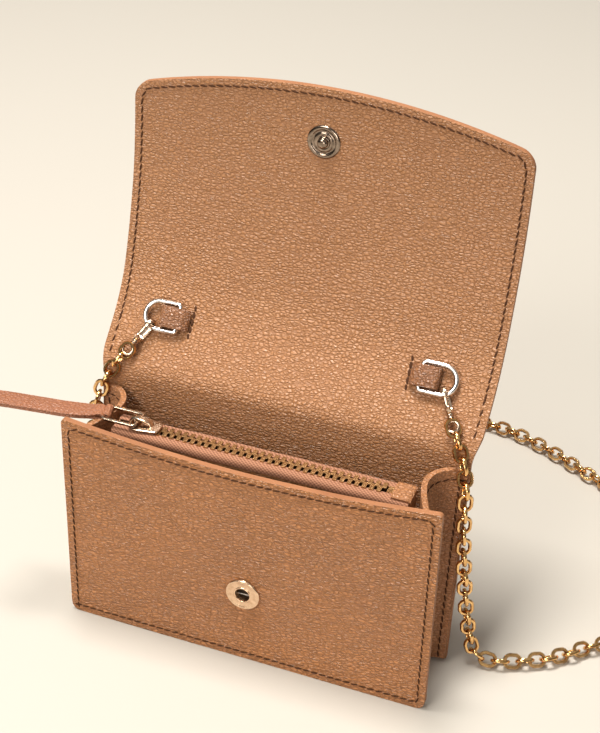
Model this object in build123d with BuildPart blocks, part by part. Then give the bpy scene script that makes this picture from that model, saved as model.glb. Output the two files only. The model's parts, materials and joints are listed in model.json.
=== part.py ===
from build123d import *
import math
import os

# Chain wallet, standing on its base with the flap propped open.
# Millimetres. +X to the wallet's right, +Y to its back, +Z up.
# The origin is the middle of the base.

# ---------------------------------------------------------------- body
body_width = 105.0
body_height = 66.0
base_depth = 22.0
front_lean = 1.5            # how far the front panel's top stands behind its foot
back_lean = 7.0             # how far the back panel's top stands behind its foot
leather = 1.0
lining = 0.6
wall = leather + lining
base_sheet = 0.8
mouth_dip = 3.4             # hollow in the middle of the front panel's top edge

# ---------------------------------------------------------------- gussets
gusset_sheet = 0.8
gusset_height = 61.0
gusset_flange = 3.4
gusset_fold_depth = 9.0     # how far the fold reaches in from the side
gusset_fold_y = 1.4

# ---------------------------------------------------------------- coin pocket and zip
pocket_wall = 0.8
pocket_gap = 4.8            # clear depth of the coin pocket
pocket_y = 1.4
pocket_half_width = 42.0
pocket_foot = 1.6
zip_height = 60.3           # underside of the zip's tapes
tape_sheet = 0.5
tooth_pitch = 2.0
tooth_width = 0.85
tooth_length = 1.7
tooth_mesh = 0.8            # how far the two rows reach into each other
tooth_height = 1.2
zip_left = -33.0            # first tooth
zip_teeth = 34
stop_width = 1.6
slider_length = 9.4
slider_width = 7.0
slider_base_width = 4.4
slider_plate = 0.75
slider_clear = 0.3          # between the slider and the teeth
crown_length = 3.4
crown_width = 1.8
crown_height = 1.6
pull_pin_radius = 0.42
pin_clear = 0.06
pull_length = 9.6
pull_width = 5.8
strap_width = 4.2
strap_length = 36.0
strap_sheet = 0.6
strap_skew = 8.0            # degrees that the strap lies askew on the pull
strap_reach = 1.1           # from the pull's far bar to the inside of the strap's fold
strap_eye = 6.0             # length of the loop that holds the bar

# ---------------------------------------------------------------- flap
flap_width = 107.0
fold_gap = 1.2              # bare stretch each side of a fold's axis
base_straight = 11.0
base_curve = 18.0
base_angle = 45.0           # degrees above the horizontal at the back fold
fold_angle = 71.0           # at the front fold
tip_angle = 86.5            # at the flap's corners
front_length = 48.6         # front fold to the flap's corners
tip_rise = 8.0              # arch of the flap's free edge
tip_radius = 4.0
closed_front = 268.2        # direction of the closed front part

# ---------------------------------------------------------------- snap
snap_reach = 44.0           # front fold to the snap, along the flap
socket_radius = 4.6
socket_hole = 1.9
barrel_radius = 3.0
stud_radius = 4.35
stud_ball = 1.5
cap_radius = 5.0
post_radius = 1.0
hole_clear = 0.05
socket_washer = 0.5
spring_wire = 0.2
spring_offset = 0.9
spring_depth = 0.9          # behind the front panel's face
stud_height = 1.9
stud_seat = 0.08            # over the flap's hollow, so that the stud's rim just clears it

# ---------------------------------------------------------------- rings and clips
ring_reach = 16.0           # back fold to the rings, along the flap
ring_wire = 0.6
ring_bar_x = 34.7
ring_arm_x = 40.4
ring_half = 3.9
ring_corner = 1.0
tab_middle_x = 35.9
tab_length = 8.0
tab_width = 5.5
tab_sheet = 0.7
tab_slot = 1.8
clip_turn = 28.0            # degrees that a clip points out from straight down the flap
clip_inner = 1.4            # radius of the hook's mouth
clip_wire = 0.6
clip_sheet = 1.6
clip_lift = 2.12             # clip's middle above the flap
hook_length = 3.4           # between the centres of the hook's two round ends
hook_slack = 0.15           # ring's wire from the hook's round end
gate_start = 1.0
gate_pin_at = 3.95
gate_pin_radius = 0.3
gate_sheet = 0.54
gate_width = 0.9
neck_radius = 0.9
neck_length = 1.4
stem_radius = 0.4
eye_wire = 0.45
eye_radius = 1.45

# ---------------------------------------------------------------- chain
chain_radius = 2.3
floor_clear = 0.15
coil_x = 121.0
coil_y = 62.0
coil_outer = 29.8
coil_inner = 20.2
coil_height = 9.6
coil_foot = 0.75
tie_sheet = 0.5
tie_slack = 0.3
tie_width = 4.0

os.makedirs("parts", exist_ok=True)


def save(part, name):
    part.label = name
    export_step(part, f"parts/{name}.step")


def along(angle):
    """Unit vector in the YZ plane, at an angle above the horizontal."""
    return (math.cos(math.radians(angle)), math.sin(math.radians(angle)))


def inward(angle):
    """Normal of a flap line that runs at this angle, towards the flap's inner side."""
    return (-math.sin(math.radians(angle)), math.cos(math.radians(angle)))


def step_by(point, direction, distance):
    return (point[0] + direction[0] * distance, point[1] + direction[1] * distance)


def space(x, point):
    return Vector(x, point[0], point[1])


def front_y(z):
    """Outer face of the front panel."""
    return -base_depth / 2 + front_lean * z / body_height


def back_y(z):
    """Outer face of the back panel."""
    return base_depth / 2 + back_lean * z / body_height


# ================================================================ panels
def panel_slab(bottom, top, near, far, face):
    """Sheet across the body between two offsets from a leaning face."""
    with BuildPart() as slab:
        with BuildSketch(Plane.YZ):
            with BuildLine():
                Polyline(
                    (face(bottom) + near, bottom),
                    (face(bottom) + far, bottom),
                    (face(top) + far, top),
                    (face(top) + near, top),
                    close=True,
                )
            make_face()
        extrude(amount=body_width / 2, both=True)
    return slab.part


back_top = body_height + 1.0 - fold_gap
back_fold = (back_y(body_height + 1.0) - wall / 2, body_height + 1.0)

base_radius = base_curve / math.radians(fold_angle - base_angle)
base_turn = step_by(back_fold, along(base_angle), base_straight)
base_centre = step_by(base_turn, inward(base_angle), base_radius)
front_fold = step_by(base_centre, inward(fold_angle), -base_radius)
tip_radius_of_curve = front_length / math.radians(tip_angle - fold_angle)
tip_centre = step_by(front_fold, inward(fold_angle), tip_radius_of_curve)

# closed pose of the snap, which sets the socket's height
base_chord = math.dist(back_fold, front_fold)
base_direction = math.degrees(math.atan2(front_fold[1] - back_fold[1], front_fold[0] - back_fold[0]))
base_swing = 180.0 - base_direction
closed_fold = (back_fold[0] - base_chord, back_fold[1])
front_direction = (fold_angle + tip_angle) / 2
front_swing = closed_front - front_direction - base_swing
snap_angle = fold_angle + math.degrees(snap_reach / tip_radius_of_curve)
snap_middle = step_by(tip_centre, inward(snap_angle), -tip_radius_of_curve)
snap_chord = math.dist(front_fold, snap_middle)
snap_direction = math.degrees(math.atan2(snap_middle[1] - front_fold[1], snap_middle[0] - front_fold[0]))
closed_snap = step_by(closed_fold, along(snap_direction + base_swing + front_swing), snap_chord)
socket_z = closed_snap[1]
print("folds", back_fold, front_fold, "swing", base_swing, front_swing)
print("closed snap", closed_snap, "panel face", front_y(socket_z))

lean_angle = math.atan2(front_lean, body_height)
socket_plane = Plane(
    origin=(0, front_y(socket_z), socket_z),
    x_dir=(1, 0, 0),
    z_dir=(0, -math.cos(lean_angle), math.sin(lean_angle)),
)

dip_radius = (body_width / 2) ** 2 / (2 * mouth_dip) + mouth_dip / 2
with BuildSketch(Plane.XZ) as mouth:
    with Locations((0, body_height - mouth_dip + dip_radius)):
        Circle(dip_radius)

with BuildPart() as front_panel:
    add(panel_slab(0, body_height, 0, leather, front_y))
    extrude(mouth.sketch, amount=base_depth, both=True, mode=Mode.SUBTRACT)
    with Locations(socket_plane):
        Hole(barrel_radius + hole_clear, depth=2 * wall)
save(front_panel.part, "front_panel")

with BuildPart() as front_lining:
    add(panel_slab(base_sheet, body_height, leather, wall, front_y))
    extrude(mouth.sketch, amount=base_depth, both=True, mode=Mode.SUBTRACT)
    with Locations(socket_plane):
        Hole(barrel_radius + hole_clear, depth=2 * wall)
save(front_lining.part, "front_lining")

with BuildPart() as back_panel:
    add(panel_slab(0, back_top, -leather, 0, back_y))
save(back_panel.part, "back_panel")

with BuildPart() as back_lining:
    add(panel_slab(base_sheet, back_top, -wall, -leather, back_y))
save(back_lining.part, "back_lining")

with BuildPart() as base_panel:
    with BuildSketch():
        with BuildLine():
            Polyline(
                (-body_width / 2, front_y(base_sheet) + leather),
                (body_width / 2, front_y(base_sheet) + leather),
                (body_width / 2, back_y(0) - leather),
                (-body_width / 2, back_y(0) - leather),
                close=True,
            )
        make_face()
    extrude(amount=base_sheet)
save(base_panel.part, "base_panel")


# ================================================================ gussets
def gusset_outline(z):
    """Fold of the right gusset at one height, from the front seam to the back seam."""
    side = body_width / 2
    near = front_y(z) + wall
    far = back_y(z) - wall
    knee = side - gusset_flange
    fold = side - gusset_fold_depth
    slant = gusset_sheet * 0.55
    return [
        (side, near),
        (knee, near),
        (fold - slant, gusset_fold_y),
        (knee, far),
        (side, far),
        (side, far - gusset_sheet),
        (knee + slant, far - gusset_sheet),
        (fold + slant, gusset_fold_y),
        (knee + slant, near + gusset_sheet),
        (side, near + gusset_sheet),
    ]


with BuildPart() as right_gusset:
    for z in (base_sheet, gusset_height):
        with BuildSketch(Plane.XY.offset(z)):
            with BuildLine():
                Polyline(gusset_outline(z), close=True)
            make_face()
    loft(ruled=True)
save(right_gusset.part, "right_gusset")

with BuildPart() as left_gusset:
    add(right_gusset.part)
    mirror(about=Plane.YZ, mode=Mode.REPLACE)
save(left_gusset.part, "left_gusset")

# ================================================================ coin pocket
pocket_front = pocket_y - pocket_gap / 2
pocket_back = pocket_y + pocket_gap / 2
pocket_tall = zip_height - pocket_foot

for name, middle in (
    ("coin_pocket_front", pocket_front - pocket_wall / 2),
    ("coin_pocket_back", pocket_back + pocket_wall / 2),
):
    with BuildPart() as pocket_side:
        with Locations((0, middle, pocket_foot + pocket_tall / 2)):
            Box(2 * pocket_half_width, pocket_wall, pocket_tall)
    save(pocket_side.part, name)

with BuildPart() as coin_pocket_ends:
    with Locations((0, pocket_y, pocket_foot + pocket_tall / 2)):
        with GridLocations(2 * pocket_half_width - pocket_wall, 0, 2, 1):
            Box(pocket_wall, pocket_gap, pocket_tall)
save(coin_pocket_ends.part, "coin_pocket_ends")

with BuildPart() as coin_pocket_base:
    pocket_inside = 2 * (pocket_half_width - pocket_wall)
    with Locations((0, pocket_y, pocket_foot + pocket_wall / 2)):
        Box(pocket_inside, pocket_gap, pocket_wall)
save(coin_pocket_base.part, "coin_pocket_base")

# ================================================================ zip
tooth_edge = tooth_length - tooth_mesh / 2      # from the zip's middle to a tooth's root
tape_outer = pocket_gap / 2 + pocket_wall
tape_width = tape_outer - tooth_edge
teeth_z = zip_height + tape_sheet / 2
zip_right = zip_left + (2 * zip_teeth - 1) * tooth_pitch / 2

for name, side in (("zip_tape_front", -1), ("zip_tape_back", 1)):
    with BuildPart() as tape:
        with Locations((0, pocket_y + side * (tooth_edge + tape_width / 2), teeth_z)):
            Box(2 * pocket_half_width, tape_width, tape_sheet)
    save(tape.part, name)

row_middle = tooth_edge - tooth_length / 2
for name, side, shift in (("zip_teeth_front", -1, 0), ("zip_teeth_back", 1, tooth_pitch / 2)):
    row_x = zip_left + shift + (zip_teeth - 1) * tooth_pitch / 2
    with BuildPart() as teeth:
        with Locations((row_x, pocket_y + side * row_middle, teeth_z)):
            with GridLocations(tooth_pitch, 0, zip_teeth, 1):
                Box(tooth_width, tooth_length, tooth_height)
    save(teeth.part, name)

for name, x in (
    ("zip_stop_left", zip_left - tooth_pitch - stop_width / 2),
    ("zip_stop_right", zip_right + tooth_pitch / 2 + stop_width / 2),
):
    with BuildPart() as stop:
        with Locations((x, pocket_y, teeth_z)):
            Box(stop_width, 2 * tooth_edge, tooth_height)
    save(stop.part, name)

with BuildPart() as zip_end_tab:
    tab_start = zip_right + tooth_pitch / 2 + stop_width
    with Locations(((tab_start + pocket_half_width) / 2, pocket_y, teeth_z + tape_sheet / 2 + 0.45)):
        Box(pocket_half_width - tab_start - 0.2, 2 * tape_outer, 0.9)
save(zip_end_tab.part, "zip_end_tab")

# slider: two plates over and under the teeth, with a crown that holds the pull
slider_x = zip_left - tooth_pitch / 2 + slider_length / 2 - 4.0
plate_gap = tooth_height / 2 + slider_clear
for name, side, width in (("zip_slider_top", 1, slider_width), ("zip_slider_base", -1, slider_base_width)):
    with BuildPart() as plate:
        with BuildSketch(Plane.XY.offset(teeth_z + side * (plate_gap + slider_plate / 2))):
            with Locations((slider_x, pocket_y)):
                RectangleRounded(slider_length, width, 1.6)
        extrude(amount=slider_plate / 2, both=True)
        if side > 0:
            crown_z = teeth_z + plate_gap + slider_plate + crown_height / 2
            pull_x = slider_x - 1.8
            with Locations((pull_x, pocket_y, crown_z)):
                Box(crown_length, crown_width, crown_height)
            with BuildSketch(Plane.XZ.offset(-pocket_y)):
                with Locations((pull_x, crown_z)):
                    Circle(pull_pin_radius + pin_clear)
            extrude(amount=crown_width, both=True, mode=Mode.SUBTRACT)
    save(plate.part, name)

# pull: a bent wire frame whose near bar passes through the crown
with BuildPart() as zip_pull:
    half = pull_width / 2
    with BuildLine() as pull_line:
        Line((pull_x, pocket_y - half, crown_z), (pull_x, pocket_y + half, crown_z))
        Line((pull_x, pocket_y + half, crown_z), (pull_x - pull_length, pocket_y + half, crown_z))
        Line((pull_x - pull_length, pocket_y + half, crown_z), (pull_x - pull_length, pocket_y - half, crown_z))
        Line((pull_x - pull_length, pocket_y - half, crown_z), (pull_x, pocket_y - half, crown_z))
    with BuildSketch(Plane(origin=(pull_x, pocket_y, crown_z), z_dir=(0, 1, 0))):
        Circle(pull_pin_radius)
    sweep(path=pull_line.wires()[0], transition=Transition.RIGHT)
save(zip_pull.part, "zip_pull")

# leather strap, folded round the pull's far bar
strap_x = pull_x - pull_length
strap_gap = 2 * (pull_pin_radius + pin_clear)
strap_plane = Plane(origin=(strap_x, pocket_y, crown_z), z_dir=(0, 0, 1)).rotated((0, 0, strap_skew))
with BuildPart() as strap_leather:
    with BuildSketch(Plane(strap_plane.origin, x_dir=strap_plane.x_dir, z_dir=-strap_plane.y_dir)):
        with Locations((strap_reach + strap_sheet - strap_length / 2, 0)):
            SlotOverall(strap_length, strap_gap + 2 * strap_sheet)
        with Locations((strap_reach - strap_eye / 2, 0)):
            SlotOverall(strap_eye, strap_gap, mode=Mode.SUBTRACT)
    extrude(amount=strap_width / 2, both=True)
save(strap_leather.part, "strap_leather")


# ================================================================ flap
def flap_sheet(near, far, curve_centre, curve_radius, start, end, straight=0.0):
    """Curved sheet between two heights over the flap's middle line, extruded across the flap."""
    with BuildPart() as sheet:
        with BuildSketch(Plane.YZ):
            with BuildLine():
                middle = (start + end) / 2
                ends = []
                for height in (near, far):
                    radius = curve_radius - height
                    first = step_by(curve_centre, inward(start), -radius)
                    centre = step_by(curve_centre, inward(middle), -radius)
                    last = step_by(curve_centre, inward(end), -radius)
                    ThreePointArc(first, centre, last)
                    if straight:
                        foot = step_by(first, along(start), -straight)
                        Line(foot, first)
                        ends.append((foot, last))
                    else:
                        ends.append((first, last))
                Line(ends[0][0], ends[1][0])
                Line(ends[0][1], ends[1][1])
            make_face()
        extrude(amount=flap_width / 2, both=True)
    return sheet.part


base_end = fold_angle - math.degrees(fold_gap / base_radius)
for name, near, far in (
    ("flap_base_leather", -wall / 2, -wall / 2 + leather),
    ("flap_base_lining", -wall / 2 + leather, wall / 2),
):
    with BuildPart() as flap_base:
        add(flap_sheet(near, far, base_centre, base_radius, base_angle, base_end, base_straight - fold_gap))
    save(flap_base.part, name)

front_start = fold_angle + math.degrees(fold_gap / tip_radius_of_curve)
front_end = fold_angle + math.degrees((front_length + tip_rise + 4.0) / tip_radius_of_curve)
outline_plane = Plane(
    origin=space(0, front_fold),
    x_dir=(1, 0, 0),
    z_dir=(0, *inward(front_direction)),
)
corner_point = step_by(tip_centre, inward(tip_angle), -tip_radius_of_curve)
corner_v = math.dist(front_fold, corner_point)
snap_plane = Plane(
    origin=space(0, step_by(snap_middle, inward(snap_angle), wall / 2)),
    x_dir=(1, 0, 0),
    z_dir=(0, *inward(snap_angle)),
)
with BuildSketch(outline_plane) as flap_outline:
    with BuildLine():
        half = flap_width / 2
        Line((-half, 0), (half, 0))
        Line((half, 0), (half, corner_v))
        ThreePointArc((half, corner_v), (0, corner_v + tip_rise), (-half, corner_v))
        Line((-half, corner_v), (-half, 0))
    make_face()
    fillet(flap_outline.vertices().group_by(Axis.Z)[-1], tip_radius)

for name, near, far in (
    ("flap_leather", -wall / 2, -wall / 2 + leather),
    ("flap_lining", -wall / 2 + leather, wall / 2),
):
    with BuildPart() as flap_front:
        add(flap_sheet(near, far, tip_centre, tip_radius_of_curve, front_start, front_end))
        extrude(flap_outline.sketch, amount=4 * wall, both=True, mode=Mode.INTERSECT)
        with Locations(snap_plane):
            Hole(post_radius + hole_clear, depth=3 * wall)
    save(flap_front.part, name)

# ================================================================ snap
def turning_plane(plane):
    """Plane through another plane's Z axis: X is the radius, Y the height over the plane."""
    return Plane(origin=plane.origin, x_dir=plane.x_dir, z_dir=-plane.y_dir)


def turned(plane, outline):
    """Solid of revolution round a plane's Z axis."""
    with BuildPart() as solid:
        with BuildSketch(turning_plane(plane)):
            with BuildLine():
                Polyline(outline, close=True)
            make_face()
        revolve(axis=Axis(plane.origin, plane.z_dir))
    return solid.part


with BuildPart() as snap_socket:
    add(turned(socket_plane, [
        (socket_hole, -wall - socket_washer),
        (barrel_radius, -wall - socket_washer),
        (barrel_radius, 0.0),
        (socket_radius, 0.0),
        (socket_radius, 0.35),
        (socket_radius - 0.4, 0.7),
        (socket_hole + 0.5, 0.8),
        (socket_hole, 0.5),
    ]))
save(snap_socket.part, "snap_socket")

with BuildPart() as snap_washer:
    add(turned(socket_plane, [
        (barrel_radius, -wall - socket_washer),
        (socket_radius, -wall - socket_washer),
        (socket_radius, -wall),
        (barrel_radius, -wall),
    ]))
save(snap_washer.part, "snap_washer")

with BuildPart() as snap_spring:
    spring_plane = socket_plane.offset(-spring_depth)
    for side in (-1, 1):
        with BuildSketch(Plane(spring_plane.from_local_coords((0, side * spring_offset, 0)), z_dir=(1, 0, 0))):
            Circle(spring_wire)
        extrude(amount=socket_hole, both=True)
save(snap_spring.part, "snap_spring")

with BuildPart() as snap_stud:
    add(turned(snap_plane, [
        (0.0, -wall / 2),
        (post_radius, -wall / 2),
        (post_radius, stud_seat),
        (stud_radius, stud_seat),
        (stud_radius, 0.3),
        (stud_radius - 0.5, 0.6),
        (stud_radius - 1.2, 0.35),
        (stud_ball + 0.4, 0.35),
        (stud_ball - 0.3, 0.7),
        (stud_ball, 1.2),
        (stud_ball - 0.4, stud_height),
        (0.0, stud_height + 0.1),
    ]))
save(snap_stud.part, "snap_stud")

with BuildPart() as snap_cap:
    add(turned(snap_plane, [
        (0.0, -wall / 2),
        (post_radius, -wall / 2),
        (post_radius, -wall),
        (cap_radius, -wall),
        (cap_radius - 0.3, -wall - 0.4),
        (cap_radius / 2, -wall - 0.8),
        (0.0, -wall - 0.9),
    ]))
save(snap_cap.part, "snap_cap")

# ================================================================ rings and their tabs
ring_angle = base_angle + math.degrees((ring_reach - base_straight) / base_radius)
ring_foot = step_by(base_centre, inward(ring_angle), wall / 2 - base_radius)
ring_plane = Plane(
    origin=space(0, ring_foot),
    x_dir=(1, 0, 0),
    z_dir=(0, *inward(ring_angle)),
)
ring_lift = tab_sheet + tab_slot / 2 + 0.1
tab_section = Plane(ring_plane.origin, x_dir=ring_plane.x_dir, z_dir=-ring_plane.y_dir)

with BuildPart() as right_ring_tab:
    with BuildSketch(tab_section):
        with Locations((tab_middle_x, ring_lift)):
            SlotOverall(tab_length, tab_slot + 2 * tab_sheet)
            SlotOverall(tab_length - 2 * tab_sheet, tab_slot, mode=Mode.SUBTRACT)
    extrude(amount=tab_width / 2, both=True)
save(right_ring_tab.part, "right_ring_tab")

wire_plane = ring_plane.offset(ring_lift)
with BuildPart() as right_d_ring:
    with BuildLine(wire_plane) as ring_line:
        bend = ring_bar_x + ring_corner
        inset = ring_half - ring_corner
        slack = ring_corner * (1 - math.sqrt(0.5))
        Line((ring_bar_x, -inset), (ring_bar_x, inset))
        ThreePointArc((ring_bar_x, inset), (ring_bar_x + slack, ring_half - slack), (bend, ring_half))
        Line((bend, ring_half), (ring_arm_x, ring_half))
        ThreePointArc((ring_arm_x, ring_half), (ring_arm_x + ring_half, 0), (ring_arm_x, -ring_half))
        Line((ring_arm_x, -ring_half), (bend, -ring_half))
        ThreePointArc((bend, -ring_half), (ring_bar_x + slack, slack - ring_half), (ring_bar_x, -inset))
    bar_middle = wire_plane.from_local_coords((ring_bar_x, -inset, 0))
    with BuildSketch(Plane(bar_middle, z_dir=wire_plane.y_dir)):
        Circle(ring_wire)
    sweep(path=ring_line.wires()[0])
save(right_d_ring.part, "right_d_ring")

# ================================================================ clips
flap_normal = Vector(0, *inward(base_angle))
flap_down = -Vector(0, *along(base_angle))
turn = math.radians(clip_turn)
clip_axis = Vector(1, 0, 0) * math.sin(turn) + flap_down * math.cos(turn)
hold = wire_plane.from_local_coords((
    ring_arm_x + ring_half * math.sin(turn),
    -ring_half * math.cos(turn),
    0,
))
hold_height = (hold - space(0, back_fold)).dot(flap_normal) - wall / 2
clip_origin = hold + flap_normal * (clip_lift - hold_height) - clip_axis * hook_slack
clip_plane = Plane(clip_origin, x_dir=clip_axis, z_dir=clip_axis.cross(flap_normal))
clip_outer = clip_inner + clip_wire
gate_middle = clip_inner + clip_wire / 2
neck_start = hook_length + clip_outer - 0.2
neck_end = neck_start + neck_length
eye_at = neck_end + 0.5 + eye_radius + eye_wire / 2


def lengthwise(distance):
    """Plane across the clip, a distance along it."""
    return Plane(clip_plane.from_local_coords((distance, 0, 0)), z_dir=clip_axis)


with BuildPart() as right_clip:
    with BuildSketch(clip_plane):
        with Locations((hook_length / 2, 0)):
            SlotCenterToCenter(hook_length, 2 * clip_outer)
            SlotCenterToCenter(hook_length, 2 * clip_inner, mode=Mode.SUBTRACT)
    extrude(amount=clip_sheet / 2, both=True)
    with BuildSketch(lengthwise(neck_start)):
        Circle(neck_radius)
    extrude(amount=neck_length)
    with BuildSketch(lengthwise(neck_start + 0.1)):
        Circle(stem_radius + pin_clear)
    extrude(amount=neck_length, mode=Mode.SUBTRACT)
    gate_space = gate_pin_at - gate_start
    with BuildSketch(clip_plane):
        with Locations((gate_start + gate_space / 2 - 0.3, gate_middle)):
            Rectangle(gate_space - 0.6, 2 * clip_wire)
    extrude(amount=clip_sheet, both=True, mode=Mode.SUBTRACT)
    with BuildSketch(clip_plane):
        with Locations((gate_pin_at, gate_middle)):
            Rectangle(1.7, 2 * clip_wire)
    extrude(amount=gate_width / 2 + pin_clear, both=True, mode=Mode.SUBTRACT)
    with BuildSketch(clip_plane):
        with Locations((gate_pin_at, gate_middle)):
            Circle(gate_pin_radius)
    extrude(amount=clip_sheet, both=True, mode=Mode.SUBTRACT)
save(right_clip.part, "right_clip")

with BuildPart() as right_gate_pin:
    with BuildSketch(clip_plane):
        with Locations((gate_pin_at, gate_middle)):
            Circle(gate_pin_radius)
    extrude(amount=clip_sheet / 2, both=True)
save(right_gate_pin.part, "right_gate_pin")

with BuildPart() as right_gate:
    gate_end = gate_pin_at + 0.35
    with BuildSketch(clip_plane):
        with Locations(((gate_start + gate_end + pin_clear) / 2, gate_middle)):
            Rectangle(gate_end - gate_start - pin_clear, gate_sheet)
        with Locations((gate_pin_at, gate_middle)):
            Circle(gate_pin_radius + 0.3)
            Circle(gate_pin_radius + pin_clear, mode=Mode.SUBTRACT)
    extrude(amount=gate_width / 2, both=True)
save(right_gate.part, "right_gate")

with BuildPart() as right_eye:
    with BuildSketch(lengthwise(neck_start + 0.15)):
        Circle(stem_radius)
    extrude(amount=neck_length)
    with BuildSketch(lengthwise(neck_end + pin_clear)):
        Circle(neck_radius)
    extrude(amount=0.5)
    eye_middle = clip_plane.from_local_coords((eye_at, 0, 0))
    eye_turn = Plane(eye_middle, x_dir=clip_axis, z_dir=flap_normal.cross(clip_axis))
    with BuildSketch(eye_turn):
        with Locations((eye_radius, 0)):
            Circle(eye_wire)
    revolve(axis=Axis(eye_middle, flap_normal))
save(right_eye.part, "right_eye")

for name, piece in (
    ("left_ring_tab", right_ring_tab),
    ("left_d_ring", right_d_ring),
    ("left_clip", right_clip),
    ("left_gate_pin", right_gate_pin),
    ("left_gate", right_gate),
    ("left_eye", right_eye),
):
    with BuildPart() as twin:
        add(piece.part)
        mirror(about=Plane.YZ, mode=Mode.REPLACE)
    save(twin.part, name)

# ================================================================ chain
floor_z = chain_radius + floor_clear
coil_z = coil_foot + chain_radius
coil_turn = (coil_outer + coil_inner) / 2 + chain_radius + 0.1
right_route = [
    (52.3, 12.3, 64.6),
    (53.0, 10.6, 46.0),
    (55.2, 10.6, 28.0),
    (57.4, 11.0, 12.0),
    (67.7, 11.8, floor_z),
    (80.5, 18.5, floor_z),
    (91.0, 29.5, floor_z),
    (104.5, coil_y - coil_turn + 1.5, floor_z),
    (coil_x, coil_y - coil_turn, coil_z),
]
left_route = [
    (-52.3, 12.3, 64.6),
    (-55.3, 12.2, 44.0),
    (-57.2, 12.4, 22.0),
    (-59.5, 20.0, 6.5),
    (-60.8, 33.5, floor_z),
    (-58.0, 49.0, floor_z),
    (-50.0, 67.0, floor_z),
    (-37.0, 84.5, floor_z),
    (-20.0, 99.5, floor_z),
    (0.0, 110.5, floor_z),
    (20.0, 117.0, floor_z),
    (40.0, 117.8, floor_z),
    (57.0, 111.5, floor_z),
    (73.0, 102.5, floor_z),
    (89.0, 95.3, floor_z),
    (105.0, coil_y + coil_turn + 1.5, floor_z + 2.2),
    (coil_x, coil_y + coil_turn, coil_z + 2 * chain_radius + 0.2),
]


def bend_radii(route):
    """Largest radius that the two runs at each corner leave room for."""
    radii = []
    for before, corner, after in zip(route, route[1:], route[2:]):
        run_in = Vector(corner) - Vector(before)
        run_out = Vector(after) - Vector(corner)
        half_turn = math.radians(run_in.get_angle(run_out)) / 2
        radii.append(0.45 * min(run_in.length, run_out.length) / math.tan(half_turn))
    return radii


for name, route in (("chain_right", right_route), ("chain_left", left_route)):
    radii = bend_radii(route)
    with BuildPart() as tube:
        with BuildLine() as tube_line:
            FilletPolyline(*route, radius=radii)
        with BuildSketch(Plane(route[0], z_dir=Vector(route[1]) - Vector(route[0]))):
            Circle(chain_radius)
        sweep(path=tube_line.wires()[0])
    save(tube.part, name)
    length = tube_line.wires()[0].length
    print(name, "length", round(length, 1), "radii", [round(r, 1) for r in radii])
    print("  volume over section x length", tube.part.volume / (math.pi * chain_radius**2 * length))

with BuildPart() as chain_coil:
    with BuildSketch(Plane.XY.offset(coil_foot)):
        with Locations((coil_x, coil_y)):
            Circle(coil_outer)
            Circle(coil_inner, mode=Mode.SUBTRACT)
    extrude(amount=coil_height)
    fillet(chain_coil.edges(), chain_radius * 0.8)
save(chain_coil.part, "chain_coil")

with BuildPart() as coil_tie:
    with BuildSketch(Plane.XZ.offset(-coil_y)):
        with Locations((coil_x + (coil_outer + coil_inner) / 2, coil_foot + coil_height / 2)):
            tie_size = coil_outer - coil_inner
            RectangleRounded(tie_size + tie_slack + 2 * tie_sheet, coil_height + tie_slack + 2 * tie_sheet, 1.0)
            Rectangle(tie_size + tie_slack, coil_height + tie_slack, mode=Mode.SUBTRACT)
    extrude(amount=tie_width / 2, both=True)
save(coil_tie.part, "coil_tie")
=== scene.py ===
import json
import math

import bmesh
import bpy
from mathutils import Matrix, Vector, noise


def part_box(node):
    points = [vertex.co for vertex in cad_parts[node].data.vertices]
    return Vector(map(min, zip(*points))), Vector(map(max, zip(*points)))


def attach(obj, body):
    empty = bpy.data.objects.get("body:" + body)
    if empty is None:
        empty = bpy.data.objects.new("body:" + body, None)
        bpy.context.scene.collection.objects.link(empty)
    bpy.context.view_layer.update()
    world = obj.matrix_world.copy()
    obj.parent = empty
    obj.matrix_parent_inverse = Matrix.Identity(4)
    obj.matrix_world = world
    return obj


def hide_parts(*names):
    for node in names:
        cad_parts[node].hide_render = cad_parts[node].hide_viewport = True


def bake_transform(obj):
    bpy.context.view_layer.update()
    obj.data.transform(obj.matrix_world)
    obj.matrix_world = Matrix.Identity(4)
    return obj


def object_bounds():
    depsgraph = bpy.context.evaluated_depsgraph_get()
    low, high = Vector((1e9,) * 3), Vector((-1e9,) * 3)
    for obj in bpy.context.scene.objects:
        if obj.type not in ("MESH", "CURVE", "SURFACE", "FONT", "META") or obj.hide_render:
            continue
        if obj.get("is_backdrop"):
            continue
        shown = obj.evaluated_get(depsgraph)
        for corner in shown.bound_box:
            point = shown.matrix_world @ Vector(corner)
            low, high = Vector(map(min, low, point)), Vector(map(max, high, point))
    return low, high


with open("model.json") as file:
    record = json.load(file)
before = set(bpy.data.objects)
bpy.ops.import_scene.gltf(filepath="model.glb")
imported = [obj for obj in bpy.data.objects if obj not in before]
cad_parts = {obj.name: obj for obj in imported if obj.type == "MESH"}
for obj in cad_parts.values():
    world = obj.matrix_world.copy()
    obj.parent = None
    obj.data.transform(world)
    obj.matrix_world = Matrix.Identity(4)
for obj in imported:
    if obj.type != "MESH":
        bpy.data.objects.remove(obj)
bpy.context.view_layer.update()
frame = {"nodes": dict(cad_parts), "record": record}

MM = 0.001
WELD = 1e-7                      # metres: closer points become one
BEVEL_ANGLE = math.radians(35.0)
X, Y, Z = Vector((1, 0, 0)), Vector((0, 1, 0)), Vector((0, 0, 1))
SIDES = (("right", 1), ("left", -1))
CORNERS = ((1, 1, 0.0), (-1, 1, 90.0), (-1, -1, 180.0), (1, -1, 270.0))
JOINTS = {joint["name"]: joint for joint in frame["record"]["behaviour"]["joints"]}


def box_mm(node):
    """Lowest and highest corner of a CAD node, in millimetres."""
    low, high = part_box(node)
    return Vector(low) / MM, Vector(high) / MM


def pivot_mm(joint):
    return Vector(JOINTS[joint]["pos_m"]) / MM


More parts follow.
